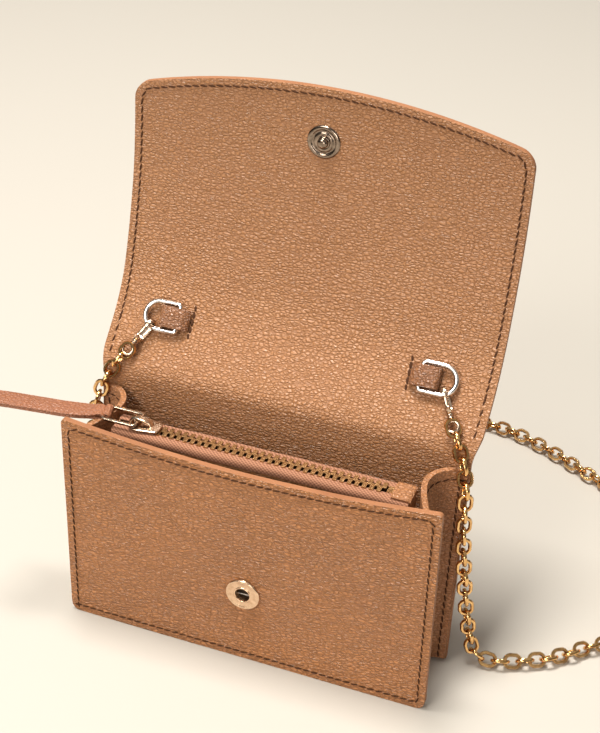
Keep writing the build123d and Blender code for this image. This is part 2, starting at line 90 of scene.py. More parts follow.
def place(piece, body, slot, *nodes):
    """Hands a finished piece to its body and hides the CAD nodes that it stands for. The slot is not used."""
    if nodes:
        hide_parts(*nodes)
    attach(piece, body)


# ---- camera
CAMERA_PLACE = (0.12464, -0.31062, 0.32017)
CAMERA_YAW = -0.3514
CAMERA_PITCH = 0.60086
CAMERA_ROLL = 0.0257
CAMERA_LENS = 79.66

ahead = Vector((
    math.sin(CAMERA_YAW) * math.cos(CAMERA_PITCH),
    math.cos(CAMERA_YAW) * math.cos(CAMERA_PITCH),
    -math.sin(CAMERA_PITCH),
))
level = Vector((math.cos(CAMERA_YAW), -math.sin(CAMERA_YAW), 0.0))
upward = level.cross(ahead)
right = level * math.cos(CAMERA_ROLL) + upward * math.sin(CAMERA_ROLL)
above = upward * math.cos(CAMERA_ROLL) - level * math.sin(CAMERA_ROLL)

camera = bpy.data.objects.new("camera", bpy.data.cameras.new("camera"))
camera.data.lens = CAMERA_LENS
camera.data.clip_start = 0.01
camera.data.clip_end = 20.0
camera.matrix_world = Matrix.Translation(CAMERA_PLACE) @ Matrix((right, above, -ahead)).transposed().to_4x4()
bpy.context.scene.collection.objects.link(camera)
bpy.context.scene.camera = camera


# ---- mesh helpers
def new_object(name, data):
    piece = bpy.data.objects.new(name, data)
    bpy.context.scene.collection.objects.link(piece)
    return piece


def new_mesh(name, points, faces):
    """Mesh data from points in millimetres."""
    mesh = bpy.data.meshes.new(name)
    mesh.from_pydata([tuple(Vector(p) * MM) for p in points], [], faces)
    mesh.update()
    return mesh


def soften(mesh, sharp):
    """Smooth shading, but sharp where faces meet at more than an angle in degrees."""
    mesh.shade_smooth()
    mesh.set_sharp_from_angle(angle=math.radians(sharp))


def mesh_piece(name, points, faces, material=None, sharp=40.0):
    """Closed mesh object from points in millimetres."""
    mesh = new_mesh(name, points, faces)
    work = bmesh.new()
    work.from_mesh(mesh)
    bmesh.ops.remove_doubles(work, verts=work.verts, dist=WELD)
    bmesh.ops.recalc_face_normals(work, faces=work.faces)
    work.to_mesh(mesh)
    work.free()
    soften(mesh, sharp)
    if material:
        mesh.materials.append(material)
    return new_object(name, mesh)


def evaluated(piece):
    """Mesh of a piece as its modifiers leave it."""
    bpy.context.view_layer.update()
    graph = bpy.context.evaluated_depsgraph_get()
    return bpy.data.meshes.new_from_object(piece.evaluated_get(graph), depsgraph=graph)


def settle(piece, sharp=40.0):
    """Turns a piece with modifiers into a plain mesh."""
    mesh = evaluated(piece)
    name, old = piece.name, piece.data
    mesh.name = name
    if piece.type == "MESH":
        piece.modifiers.clear()
        piece.data = mesh
        bpy.data.meshes.remove(old)
    else:
        bpy.data.objects.remove(piece)
        bpy.data.curves.remove(old)
        piece = new_object(name, mesh)
    soften(mesh, sharp)
    return piece


def thicken(piece, thickness, rim=0.3, segments=3, offset=-1, even=True):
    """Gives an open sheet its thickness and rounded rims. An offset of -1 is behind its face."""
    solid = piece.modifiers.new("thickness", "SOLIDIFY")
    solid.thickness = thickness * MM
    solid.offset = offset
    solid.use_even_offset = even
    solid.material_offset_rim = 1
    bevel = piece.modifiers.new("rounding", "BEVEL")
    bevel.width = rim * MM
    bevel.segments = segments
    bevel.limit_method = "ANGLE"
    bevel.angle_limit = BEVEL_ANGLE
    bevel.harden_normals = False
    return piece


def grid_piece(name, rows, materials, flip=False):
    """Open sheet through rows of points in millimetres."""
    across = len(rows[0])
    faces = []
    for j in range(len(rows) - 1):
        for i in range(across - 1):
            a = j * across + i
            face = (a, a + 1, a + across + 1, a + across)
            faces.append(tuple(reversed(face)) if flip else face)
    mesh = new_mesh(name, [p for row in rows for p in row], faces)
    for material in materials:
        mesh.materials.append(material)
    return new_object(name, mesh)


def loft_faces(levels, around, closed=False, capped=True):
    """Faces between closed lines that follow each other, all with the same number of points."""
    faces = []
    for k in range(levels if closed else levels - 1):
        near, far = k * around, (k + 1) % levels * around
        for m in range(around):
            n = (m + 1) % around
            faces.append((near + m, near + n, far + n, far + m))
    if capped and not closed:
        faces.append(tuple(reversed(range(around))))
        faces.append(tuple(range((levels - 1) * around, levels * around)))
    return faces


def lathe(name, profile, middle, axis, material, segments=72, sharp=35.0):
    """Closed turned piece. The profile is (radius, height) along the axis, in millimetres."""
    turn = Vector(axis).normalized().to_track_quat("Z", "Y").to_matrix()
    points = []
    rings = []
    for radius, height in profile:
        if radius < 1e-6:
            rings.append([len(points)] * segments)
            points.append(Vector(middle) + turn @ Vector((0, 0, height)))
            continue
        rings.append([])
        for k in range(segments):
            angle = math.tau * k / segments
            rings[-1].append(len(points))
            spoke = Vector((radius * math.cos(angle), radius * math.sin(angle), height))
            points.append(Vector(middle) + turn @ spoke)
    faces = []
    for near, far in zip(rings, rings[1:]):
        for k in range(segments):
            n = (k + 1) % segments
            corners = []
            for corner in (near[k], near[n], far[n], far[k]):
                if corner not in corners:
                    corners.append(corner)
            if len(corners) > 2:
                faces.append(corners)
    return mesh_piece(name, points, faces, material, sharp)


def rounded(profile, radius=0.12, steps=3):
    """Profile with each inner corner replaced by a small curve."""
    out = [profile[0]]
    for before, corner, after in zip(profile, profile[1:], profile[2:]):
        b, c, a = Vector(before), Vector(corner), Vector(after)
        start = c + (b - c).normalized() * min(radius, (c - b).length * 0.45)
        end = c + (a - c).normalized() * min(radius, (a - c).length * 0.45)
        for k in range(steps + 1):
            t = k / steps
            out.append(tuple(start * (1 - t) ** 2 + c * 2 * t * (1 - t) + end * t * t))
    out.append(profile[-1])
    return out


def ring_section(wide, thick, corner, count=4):
    """Rounded rectangle, half sizes, as (across, up) pairs."""
    corner = min(corner, wide, thick)
    out = []
    for sx, sy, first in CORNERS:
        for k in range(count + 1):
            angle = math.radians(first + 90.0 * k / count)
            across = sx * (wide - corner) + corner * math.cos(angle)
            out.append((across, sy * (thick - corner) + corner * math.sin(angle)))
    return out


def sweep(name, path, across, sections, material, closed=False, sharp=45.0):
    """Solid along a path: across is the way of the section's width; one section, or one for each point."""
    points = []
    total = len(path)
    if isinstance(sections[0][0], (int, float)):
        sections = [sections] * total
    for k, spot in enumerate(path):
        before = path[(k - 1) % total] if closed or k else path[k]
        after = path[(k + 1) % total] if closed or k < total - 1 else path[k]
        tangent = (after - before).normalized()
        side = (across - tangent * across.dot(tangent)).normalized()
        up = tangent.cross(side)
        points += [spot + side * u + up * v for u, v in sections[k]]
    return mesh_piece(name, points, loft_faces(total, len(sections[0]), closed), material, sharp)


def arc(middle, u, v, radius, first, last, count):
    """Points of an arc in the plane of u and v, in degrees from u."""
    out = []
    for k in range(count + 1):
        angle = math.radians(first + (last - first) * k / count)
        out.append(middle + u * (radius * math.cos(angle)) + v * (radius * math.sin(angle)))
    return out


def smooth(t):
    t = min(max(t, 0.0), 1.0)
    return t * t * (3 - 2 * t)


def crowded(half, edge, count, crowd):
    """Places from -half to half, close together within an edge's width at both ends."""
    ends = [half - edge * (1 - math.sin(math.pi / 2 * k / crowd)) for k in range(crowd + 1)]
    inner = half - edge
    middle = [-inner + 2 * inner * k / count for k in range(1, count)]
    return [-e for e in reversed(ends)] + middle + ends


# ---- shader groups
class Nodes:
    """Short way to lay out nodes."""

    def __init__(self, tree):
        self.tree = tree

    def put(self, node, socket, value):
        """Links or sets one input. A plain colour gets its alpha."""
        entry = node.inputs[socket]
        if isinstance(value, bpy.types.NodeSocket):
            self.tree.links.new(value, entry)
        elif entry.type == "RGBA":
            entry.default_value = (*value, 1.0)
        else:
            entry.default_value = value

    def add(self, kind, values=None, **settings):
        node = self.tree.nodes.new(kind)
        for name, value in settings.items():
            setattr(node, name, value)
        for socket, value in (values or {}).items():
            self.put(node, socket, value)
        return node

    def math(self, operation, a, b=0.0, c=None, clamp=False):
        values = {0: a, 1: b} if c is None else {0: a, 1: b, 2: c}
        return self.add("ShaderNodeMath", values, operation=operation, use_clamp=clamp).outputs[0]

    def vector(self, operation, a, b=None):
        values = {0: a} if b is None else {0: a, "Scale" if operation == "SCALE" else 1: b}
        return self.add("ShaderNodeVectorMath", values, operation=operation).outputs[0]

    def xyz(self, values):
        return self.add("ShaderNodeCombineXYZ", values).outputs[0]

    def span(self, value, low, high, to_low=0.0, to_high=1.0, kind="LINEAR"):
        values = {0: value, 1: low, 2: high, 3: to_low, 4: to_high}
        return self.add("ShaderNodeMapRange", values, interpolation_type=kind).outputs[0]

    def mix(self, share, a, b):
        return self.add("ShaderNodeMix", {0: share, 6: a, 7: b}, data_type="RGBA").outputs[2]

    def noise(self, place, scale, detail, rough=0.5):
        values = {"Vector": place, "Scale": scale, "Detail": detail, "Roughness": rough}
        return self.add("ShaderNodeTexNoise", values).outputs

    def bump(self, shader, height, distance, strength=1.0):
        node = self.add("ShaderNodeBump", {"Height": height, "Distance": distance, "Strength": strength})
        self.put(shader, "Normal", node.outputs[0])


def shader_group(name, sizes, masks):
    """Group that takes a place and some sizes, and puts out masks."""
    tree = bpy.data.node_groups.new(name, "ShaderNodeTree")
    tree.interface.new_socket("Place", in_out="INPUT", socket_type="NodeSocketVector")
    for label, value in sizes.items():
        tree.interface.new_socket(label, in_out="INPUT", socket_type="NodeSocketFloat").default_value = value
    for label in masks:
        tree.interface.new_socket(label, in_out="OUTPUT", socket_type="NodeSocketFloat")
    return tree, Nodes(tree), tree.nodes.new("NodeGroupInput").outputs, tree.nodes.new("NodeGroupOutput")


def make_pebble_group():
    """Pebbled leather: rounded cells of uneven size, parted by fine creases, on low ridges."""
    sizes = {"Cell Size": 0.0009, "Stretch": 1.5, "Crease Width": 0.22, "Ridges": 0.3}
    tree, n, given, sink = shader_group("pebbled_leather", sizes, ("Height", "Crease", "Tone"))
    inverse = n.math("DIVIDE", 1.0, given["Cell Size"])
    narrow = n.math("DIVIDE", inverse, given["Stretch"])
    place = n.vector("MULTIPLY", given["Place"], n.xyz({0: narrow, 1: inverse, 2: inverse}))
    drift = n.noise(place, 0.7, 2.0)["Color"]
    push = n.vector("SCALE", n.vector("SUBTRACT", drift, (0.5, 0.5, 0.5)), 0.9)
    wavy = n.vector("ADD", place, push)
    cells = {"Vector": wavy, "Scale": 1.0, "Randomness": 0.9}
    edge = n.add("ShaderNodeTexVoronoi", cells, feature="DISTANCE_TO_EDGE").outputs["Distance"]
    cell = n.add("ShaderNodeTexVoronoi", cells, feature="F1").outputs
    dome = n.span(edge, 0.0, given["Crease Width"], kind="SMOOTHSTEP")
    crown = n.span(cell["Distance"], 0.0, 0.8, 1.0, 0.0)
    flow = n.add("ShaderNodeMapping", {"Vector": wavy, "Scale": (0.45, 1.0, 1.0)}).outputs[0]
    waves = n.noise(flow, 1.35, 1.0, 0.4)["Fac"]
    ridge = n.math("MULTIPLY", n.span(waves, 0.35, 0.65, kind="SMOOTHSTEP"), given["Ridges"])
    body = n.math("ADD", n.math("MULTIPLY_ADD", crown, 0.4, n.math("MULTIPLY", dome, 0.5)), ridge)
    n.put(sink, "Height", n.math("MULTIPLY_ADD", n.noise(wavy, 5.0, 3.0, 0.6)["Fac"], 0.06, body))
    # Crease mask: it serves only to paint shade into the creases.
    n.put(sink, "Crease", n.math("SUBTRACT", 1.0, dome))
    n.put(sink, "Tone", n.add("ShaderNodeSeparateColor", {0: cell["Color"]}).outputs[0])
    return tree


def make_wear_group():
    """Lighter where a piece turns a convex corner, with a broken edge to the mark."""
    tree, n, given, sink = shader_group("edge_wear", {"Amount": 0.5}, ("Wear",))
    corner = n.span(n.add("ShaderNodeNewGeometry").outputs["Pointiness"], 0.52, 0.6)
    broken = n.span(n.noise(given["Place"], 900.0, 3.0)["Fac"], 0.35, 0.65)
    n.put(sink, "Wear", n.math("MULTIPLY", n.math("MULTIPLY", corner, broken), given["Amount"], clamp=True))
    return tree


def make_scuff_group():
    """Fine scratches and smudges for polished metal."""
    tree, n, given, sink = shader_group("metal_scuffs", {"Scale": 700.0}, ("Smudge", "Scratch"))
    turned = {"Vector": given["Place"], "Rotation": (0.4, 0.7, 0.2), "Scale": (1.0, 14.0, 3.0)}
    stretched = n.add("ShaderNodeMapping", turned).outputs[0]
    n.put(sink, "Smudge", n.span(n.noise(given["Place"], given["Scale"], 4.0, 0.6)["Fac"], 0.35, 0.7))
    n.put(sink, "Scratch", n.span(n.noise(stretched, 900.0, 2.0)["Fac"], 0.55, 0.75))
    return tree


PEBBLE = make_pebble_group()
WEAR = make_wear_group()
SCUFFS = make_scuff_group()


# ---- materials
def new_material(name, colour, roughness, metallic=0.0, **sockets):
    material = bpy.data.materials.new(name)
    material.use_nodes = True
    material.diffuse_color = (*colour, 1.0)
    n = Nodes(material.node_tree)
    shader = material.node_tree.nodes["Principled BSDF"]
    values = {"Base Color": colour, "Roughness": roughness, "Metallic": metallic, **sockets}
    for socket, value in values.items():
        n.put(shader, socket.replace("_", " "), value)
    return material, n, shader, n.add("ShaderNodeTexCoord").outputs["Object"]


def leather_material(name, light, dark, crease_shade, cell=0.0009, stretch=1.7, depth=0.00034, rough=(0.4, 0.62),
                     ridges=0.45, crease_shade_share=0.5):
    """Grained leather, with painted shade mixed into its creases. Sizes are in metres, and rough is that of the
    pebbles and of the creases.
    """
    material, n, shader, place = new_material(name, light, 0.5, Specular_IOR_Level=0.65)
    sizes = {"Place": place, "Cell Size": cell, "Stretch": stretch, "Ridges": ridges}
    grain = n.add("ShaderNodeGroup", sizes, node_tree=PEBBLE).outputs
    wear = n.add("ShaderNodeGroup", {"Place": place, "Amount": 0.35}, node_tree=WEAR).outputs
    patch = n.noise(place, 38.0, 3.0, 0.55)["Fac"]
    shade = n.math("MULTIPLY_ADD", grain["Tone"], 0.15, n.math("MULTIPLY", patch, 0.85))
    colour = n.mix(n.span(shade, 0.25, 0.75), dark, light)
    # Painted shade: a darker colour is mixed into the grain's creases, where shade falls.
    colour = n.mix(n.math("MULTIPLY", grain["Crease"], crease_shade_share), colour, crease_shade)
    colour = n.mix(wear["Wear"], colour, tuple(min(1.0, c * 1.25) for c in light))
    n.put(shader, "Base Color", colour)
    n.put(shader, "Roughness", n.span(grain["Height"], 0.2, 0.95, rough[1], rough[0]))
    n.bump(shader, grain["Height"], depth)
    return material


def plain_leather_material(name, light, dark, fibre=2600.0, rough=0.55, depth=0.00004):
    """Cut or smooth leather: fine fibre and soft mottling."""
    material, n, shader, place = new_material(name, light, rough, Specular_IOR_Level=0.4)
    fine = n.noise(place, fibre, 4.0, 0.65)["Fac"]
    broad = n.noise(place, 90.0, 3.0)["Fac"]
    shade = n.math("MULTIPLY_ADD", fine, 0.5, n.math("MULTIPLY", broad, 0.5))
    n.put(shader, "Base Color", n.mix(n.span(shade, 0.35, 0.65), dark, light))
    n.put(shader, "Roughness", n.span(fine, 0.3, 0.7, rough - 0.08, rough + 0.12))
    n.bump(shader, fine, depth)
    return material


def metal_material(name, light, dark, rough, scale=700.0, scratch=0.00001):
    """Polished metal, duller and darker where it is smudged."""
    material, n, shader, place = new_material(name, light, rough, metallic=1.0)
    scuffs = n.add("ShaderNodeGroup", {"Place": place, "Scale": scale}, node_tree=SCUFFS).outputs
    n.put(shader, "Base Color", n.mix(scuffs["Smudge"], light, dark))
    n.put(shader, "Roughness", n.span(scuffs["Smudge"], 0.0, 1.0, rough, rough + 0.12))
    n.bump(shader, scuffs["Scratch"], scratch, 0.6)
    return material


def woven_material(name, light, dark, pitch):
    """Twill tape: slanted ribs crossed by fine threads."""
    material, n, shader, place = new_material(name, light, 0.85, Sheen_Weight=0.2, Sheen_Roughness=0.4)
    waves = []
    for slope in (1.0, -1.0):
        turned = n.add("ShaderNodeMapping", {"Vector": place, "Scale": (slope, 1.0, 1.0)}).outputs[0]
        ribs = {"Vector": turned, "Scale": 0.16 / pitch, "Distortion": 0.6, "Detail": 2.0}
        waves.append(n.add("ShaderNodeTexWave", ribs, bands_direction="DIAGONAL").outputs["Fac"])
    weave = n.math("MULTIPLY_ADD", waves[0], 0.6, n.math("MULTIPLY", waves[1], 0.4))
    n.put(shader, "Base Color", n.mix(n.span(weave, 0.2, 0.8), dark, light))
    n.bump(shader, weave, 0.00008)
    return material


def thread_material(name, light, dark):
    material, n, shader, place = new_material(name, light, 0.85, Specular_IOR_Level=0.15)
    plies = {"Vector": place, "Scale": 900.0, "Distortion": 3.0, "Detail": 1.0}
    ply = n.add("ShaderNodeTexWave", plies).outputs["Fac"]
    n.put(shader, "Base Color", n.mix(ply, dark, light))
    n.bump(shader, ply, 0.00004, 0.8)
    return material


# The third colour of each grained leather is painted shade for its creases.
TAN = leather_material(
    "tan_pebbled_leather", (0.47, 0.205, 0.082), (0.42, 0.18, 0.07), (0.2, 0.076, 0.027), cell=0.00085,
)
TAN_INSIDE = leather_material(
    "tan_inside_leather", (0.415, 0.19, 0.074), (0.39, 0.173, 0.067), (0.2, 0.08, 0.03), cell=0.0008,
    stretch=1.65, depth=0.00036, rough=(0.36, 0.58), ridges=0.25, crease_shade_share=0.4,
)
TAN_FRONT = leather_material(
    "tan_ridged_leather", (0.63, 0.256, 0.082), (0.5, 0.208, 0.073), (0.24, 0.09, 0.032), cell=0.0008,
    stretch=2.0, depth=0.0008, rough=(0.38, 0.6), ridges=0.8, crease_shade_share=0.35,
)
TAB_LEATHER = leather_material(
    "brown_tab_leather", (0.33, 0.145, 0.064), (0.24, 0.1, 0.042), (0.13, 0.05, 0.02), cell=0.0008,
    rough=(0.28, 0.48),
)
STRAP_LEATHER = leather_material(
    "rose_tan_strap_leather", (0.37, 0.145, 0.068), (0.3, 0.112, 0.05), (0.2, 0.066, 0.03), cell=0.0007,
    depth=0.0002, rough=(0.36, 0.56), ridges=0.2,
)
CUT_EDGE = plain_leather_material("painted_leather_edge", (0.39, 0.17, 0.075), (0.3, 0.122, 0.052))
# Painted shade: near-black colour for a disc that stands for the shade inside the snap socket's hole.
HOLLOW_SHADE = plain_leather_material("socket_hollow_shade", (0.07, 0.045, 0.028), (0.02, 0.013, 0.009))
TAPE = woven_material("rose_tan_twill_tape", (0.44, 0.205, 0.115), (0.22, 0.09, 0.045), 0.00028)
THREAD = thread_material("dark_brown_thread", (0.1, 0.042, 0.02), (0.04, 0.016, 0.008))
GOLD = metal_material("pale_gold_plate", (0.92, 0.58, 0.25), (0.55, 0.3, 0.11), 0.09)
NICKEL = metal_material("polished_nickel", (0.86, 0.83, 0.8), (0.66, 0.62, 0.58), 0.1)
DARK_NICKEL = metal_material("dark_nickel", (0.34, 0.26, 0.2), (0.15, 0.11, 0.08), 0.08)
WARM_NICKEL = metal_material("warm_nickel", (0.76, 0.6, 0.46), (0.42, 0.31, 0.22), 0.12)
ROSE_GOLD = metal_material("rose_gold_plate", (0.84, 0.6, 0.41), (0.58, 0.38, 0.24), 0.14)
BRASS = metal_material("aged_brass", (0.54, 0.35, 0.17), (0.28, 0.165, 0.07), 0.24, scratch=0.00002)
STEEL = metal_material("dull_spring_steel", (0.34, 0.31, 0.28), (0.2, 0.18, 0.16), 0.35)


# ---- repeats by geometry nodes
def repeat_tree(name, sizes, make_shape):
    """Tree that stands one shape at even steps along a curve, each square to it."""
    tree = bpy.data.node_groups.new(name, "GeometryNodeTree")
    new_socket = tree.interface.new_socket
    new_socket("Geometry", in_out="INPUT", socket_type="NodeSocketGeometry")
    for label, value in sizes.items():
        new_socket(label, in_out="INPUT", socket_type="NodeSocketFloat").default_value = value
    new_socket("Face", in_out="INPUT", socket_type="NodeSocketVector")
    new_socket("Material", in_out="INPUT", socket_type="NodeSocketMaterial")
    new_socket("Geometry", in_out="OUTPUT", socket_type="NodeSocketGeometry")
    n = Nodes(tree)
    given = tree.nodes.new("NodeGroupInput").outputs
    sink = tree.nodes.new("NodeGroupOutput")
    curve = {"Curve": given["Geometry"], "Length": given["Pitch"]}
    even = n.add("GeometryNodeResampleCurve", curve, mode="LENGTH").outputs[0]
    axes = {"Primary Axis": n.add("GeometryNodeInputTangent").outputs[0], "Secondary Axis": given["Face"]}
    facing = n.add("FunctionNodeAxesToRotation", axes, primary_axis="X", secondary_axis="Z").outputs[0]
    index = n.add("GeometryNodeInputIndex").outputs[0]
    wobble = n.add("FunctionNodeRandomValue", {"ID": index, "Seed": 7, 2: -1.0, 3: 1.0}, data_type="FLOAT")
    turned_by = n.math("MULTIPLY", wobble.outputs[1], given["Wobble"])
    roll = n.math("MULTIPLY_ADD", n.math("MODULO", index, 2.0), given["Alternate"], turned_by)
    lean = n.add("FunctionNodeEulerToRotation", {0: n.xyz({0: roll, 2: given["Slant"]})}).outputs[0]
    final = n.add("FunctionNodeRotateRotation", {0: facing, 1: lean}, rotation_space="LOCAL").outputs[0]
    instances = {"Points": even, "Instance": make_shape(n, given), "Rotation": final}
    placed = n.add("GeometryNodeInstanceOnPoints", instances).outputs[0]
    real = n.add("GeometryNodeRealizeInstances", {0: placed}).outputs[0]
    finish = n.add("GeometryNodeSetMaterial", {"Geometry": real, "Material": given["Material"]})
    n.put(sink, 0, finish.outputs[0])
    return tree


def stitch_shape(n, given):
    """Visible length of thread: a ball drawn out along the seam."""
    ball = n.add("GeometryNodeMeshUVSphere", {"Segments": 8, "Rings": 5, "Radius": 0.5}).outputs["Mesh"]
    size = n.xyz({0: given["Length"], 1: given["Width"], 2: given["Height"]})
    scaled = n.add("GeometryNodeTransform", {"Geometry": ball, "Scale": size}).outputs[0]
    return n.add("GeometryNodeSetShadeSmooth", {0: scaled}).outputs[0]


def circle(n, points, radius):
    values = {"Resolution": points, "Radius": radius}
    return n.add("GeometryNodeCurvePrimitiveCircle", values, mode="RADIUS").outputs["Curve"]


def link_shape(n, given):
    """Oval link: a round wire bent round a stadium."""
    bend = n.math("MULTIPLY", n.math("SUBTRACT", given["Width"], given["Wire"]), 0.5)
    place = n.add("GeometryNodeInputPosition").outputs[0]
    sign = n.math("SIGN", n.add("ShaderNodeSeparateXYZ", {0: place}).outputs[0])
    half_gap = n.math("MULTIPLY", n.math("SUBTRACT", given["Length"], given["Width"]), 0.5)
    shift = n.xyz({0: n.math("MULTIPLY", sign, half_gap)})
    oval = n.add("GeometryNodeSetPosition", {"Geometry": circle(n, 16, bend), "Offset": shift}).outputs[0]
    section = circle(n, 6, n.math("MULTIPLY", given["Wire"], 0.5))
    wire = n.add("GeometryNodeCurveToMesh", {"Curve": oval, "Profile Curve": section}).outputs[0]
    return n.add("GeometryNodeSetShadeSmooth", {0: wire}).outputs[0]


def tooth_shape(n, given):
    """Zip tooth: a block across the tape, eased a little towards a ball."""
    size = n.xyz({0: given["Width"], 1: given["Length"], 2: given["Height"]})
    cube = {"Size": size, "Vertices X": 3, "Vertices Y": 4, "Vertices Z": 3}
    block = n.add("GeometryNodeMeshCube", cube).outputs["Mesh"]
    place = n.add("GeometryNodeInputPosition").outputs[0]
    ball = n.vector("SCALE", n.vector("NORMALIZE", place), n.math("MULTIPLY", given["Width"], 0.95))
    eased = n.add("ShaderNodeMix", {0: 0.14, 4: place, 5: ball}, data_type="VECTOR").outputs[1]
    shaped = n.add("GeometryNodeSetPosition", {"Geometry": block, "Position": eased}).outputs[0]
    return n.add("GeometryNodeSetShadeSmooth", {0: shaped}).outputs[0]


COMMON = {"Pitch": 0.002, "Length": 0.002, "Width": 0.001, "Wobble": 0.0, "Alternate": 0.0, "Slant": 0.0}
STITCHES = repeat_tree("stitch_run", {**COMMON, "Height": 0.0004}, stitch_shape)
LINKS = repeat_tree("link_run", {**COMMON, "Wire": 0.001}, link_shape)
TEETH = repeat_tree("tooth_run", {**COMMON, "Height": 0.001}, tooth_shape)
STITCH = dict(Pitch=2.3 * MM, Length=2.3 * MM, Width=0.56 * MM, Height=0.42 * MM, Slant=math.radians(9.0))
STITCH_RAISE = 0.04


def curve_piece(name, lines, kind="POLY"):
    """Curve object through points in millimetres, or steered by them if it is a NURBS."""
    data = bpy.data.curves.new(name, "CURVE")
    data.dimensions = "3D"
    data.twist_mode = "MINIMUM"
    data.resolution_u = 10
    for points in lines:
        spline = data.splines.new(kind)
        spline.points.add(len(points) - 1)
        for knot, point in zip(spline.points, points):
            knot.co = (*(Vector(point) * MM), 1.0)
        if kind == "NURBS":
            spline.order_u = 3
            spline.use_endpoint_u = True
    return new_object(name, data)


def run_along(curve, tree, material, **sizes):
    """Plain mesh of one shape repeated along a curve object."""
    repeat = curve.modifiers.new("repeat", "NODES")
    repeat.node_group = tree
    sockets = {item.name: item.identifier for item in tree.interface.items_tree if item.in_out == "INPUT"}
    for label, value in sizes.items():
        repeat[sockets[label]] = value
    repeat[sockets["Material"]] = material
    curve.update_tag()
    return settle(curve, sharp=60.0)


def sew(name, lines, face):
    """Stitches along lines, with their flat side to a direction."""
    return run_along(curve_piece(name, lines), STITCHES, THREAD, Face=face, **STITCH)


def join_pieces(name, pieces):
    """One mesh from several."""
    work = bmesh.new()
    for piece in pieces:
        work.from_mesh(piece.data)
    mesh = bpy.data.meshes.new(name)
    work.to_mesh(mesh)
    work.free()
    for material in pieces[0].data.materials:
        mesh.materials.append(material)
    for piece in pieces:
        bpy.data.objects.remove(piece)
    soften(mesh, 60.0)
    return new_object(name, mesh)


# ---- chain
LINK_LENGTH = 5.6
LINK_WIDTH = 4.6
LINK_WIRE = 1.1
LINK_PITCH = 3.42
LINK_WOBBLE = math.radians(9.0)
CHAIN_RADIUS = 2.3
FLOOR_Z = CHAIN_RADIUS + 0.15
EYE_REACH = 9.15                 # from the swivel to the middle of its ring
COIL_X = 121.0
COIL_Y = 62.0
COIL_WIDE = 27.4
COIL_NARROW = 22.6
COIL_LOW = 3.05
COIL_HIGH = 7.85
COIL_POINTS = 16


def eye_end(side):
    """Middle of the ring at the clip's free end, on the right side or the left."""
    axis = Vector(JOINTS["right_swivel_turn"]["axis"]).normalized()
    end = pivot_mm("right_swivel_turn") + axis * EYE_REACH
    return Vector((side * end.x, end.y, end.z))


def coil_points():
    """Wide and narrow turns, laid on each other, from the front round to the back."""
    points = []
    turns = (
        (COIL_WIDE, COIL_LOW, 1.0), (COIL_NARROW, COIL_LOW, 1.0),
        (COIL_NARROW, COIL_HIGH, 1.0), (COIL_WIDE, COIL_HIGH, 0.5),
    )
    angle = -90.0
    for radius, height, turn in turns:
        reach = radius / math.cos(math.pi / COIL_POINTS)
        for k in range(int(COIL_POINTS * turn)):
            if k or not points:
                way = math.radians(angle + 360.0 * k / COIL_POINTS)
                points.append((COIL_X + reach * math.cos(way), COIL_Y + reach * math.sin(way), height))
        angle += 360.0 * turn
    return points


right_route = [
    (52.3, 13.6, 63.8), (53.4, 11.0, 46.0), (55.2, 10.6, 28.0), (57.4, 11.0, 12.0), (59.8, 11.2, FLOOR_Z),
    (67.7, 11.8, FLOOR_Z), (80.5, 18.5, FLOOR_Z), (91.0, 29.5, FLOOR_Z), (104.5, 36.1, FLOOR_Z),
]
left_route = [
    (105.0, 90.9, FLOOR_Z + 2.2), (89.0, 95.3, FLOOR_Z), (73.0, 102.5, FLOOR_Z), (57.0, 111.5, FLOOR_Z),
    (40.0, 117.8, FLOOR_Z), (20.0, 117.0, FLOOR_Z), (0.0, 110.5, FLOOR_Z), (-20.0, 99.5, FLOOR_Z),
    (-37.0, 84.5, FLOOR_Z), (-50.0, 67.0, FLOOR_Z), (-58.0, 49.0, FLOOR_Z), (-60.8, 33.5, FLOOR_Z),
    (-59.5, 20.0, 6.5), (-57.2, 12.4, 22.0), (-55.3, 12.2, 44.0), (-52.6, 13.4, 64.6),
]
chain_points = [eye_end(1), *right_route, *coil_points(), *left_route, eye_end(-1)]
chain = curve_piece("chain", [chain_points], "NURBS")
chain_mesh = evaluated(chain)
bpy.data.meshes.remove(chain_mesh)
chain = run_along(
    chain, LINKS, GOLD, Pitch=LINK_PITCH * MM, Length=LINK_LENGTH * MM, Width=LINK_WIDTH * MM,
    Wire=LINK_WIRE * MM, Alternate=math.radians(90.0), Wobble=LINK_WOBBLE, Face=(0.3, -0.62, 0.72),
)
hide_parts("chain_right", "chain_left", "chain_coil")

# ---- body measures
panel_low, panel_high = box_mm("front_panel")
body_half = panel_high.x
body_height = panel_high.z
front_foot = panel_low.y
LEATHER = 1.0
LINING = 0.6
WALL = LEATHER + LINING
front_lean = panel_high.y - LEATHER - front_foot
BACK_FOOT = 11.0
BACK_LEAN = 7.0
MOUTH_DIP = 3.4
MOUTH_BULGE = 0.15
MOUTH_CORNER = 1.2
EDGE_INSET = 2.1
FOOT_RADIUS = 2.6
BASE_RECESS = 6.0

BACK_ANGLE = 90.0 - math.degrees(math.atan2(BACK_LEAN, body_height))
BASE_ANGLE = 45.0
FOLD_ANGLE = 71.0
TIP_ANGLE = 86.5
BASE_STRAIGHT = 11.0
BASE_CURVE = 18.0
FRONT_LENGTH = 48.6
TIP_RISE = 8.0
TIP_RADIUS = 4.0
FOLD_SOFT = 3.0
SNAP_REACH = 73.0                # back fold to the snap, along the flap
RING_REACH = 16.0                # back fold to the rings
RIPPLE = 0.22
FLAP_HALF = 54.2
FLAP_SHIFT = 0.8
FLAP_EXTRA = 2.0
STEP = 0.25
CUT_AT = 13.0                    # where the back's sheets end and the flap front's begin

base_length = BASE_STRAIGHT + BASE_CURVE
flap_end = base_length + FRONT_LENGTH + TIP_RISE + FLAP_EXTRA
back_length = (body_height + 1.0) / math.sin(math.radians(BACK_ANGLE))


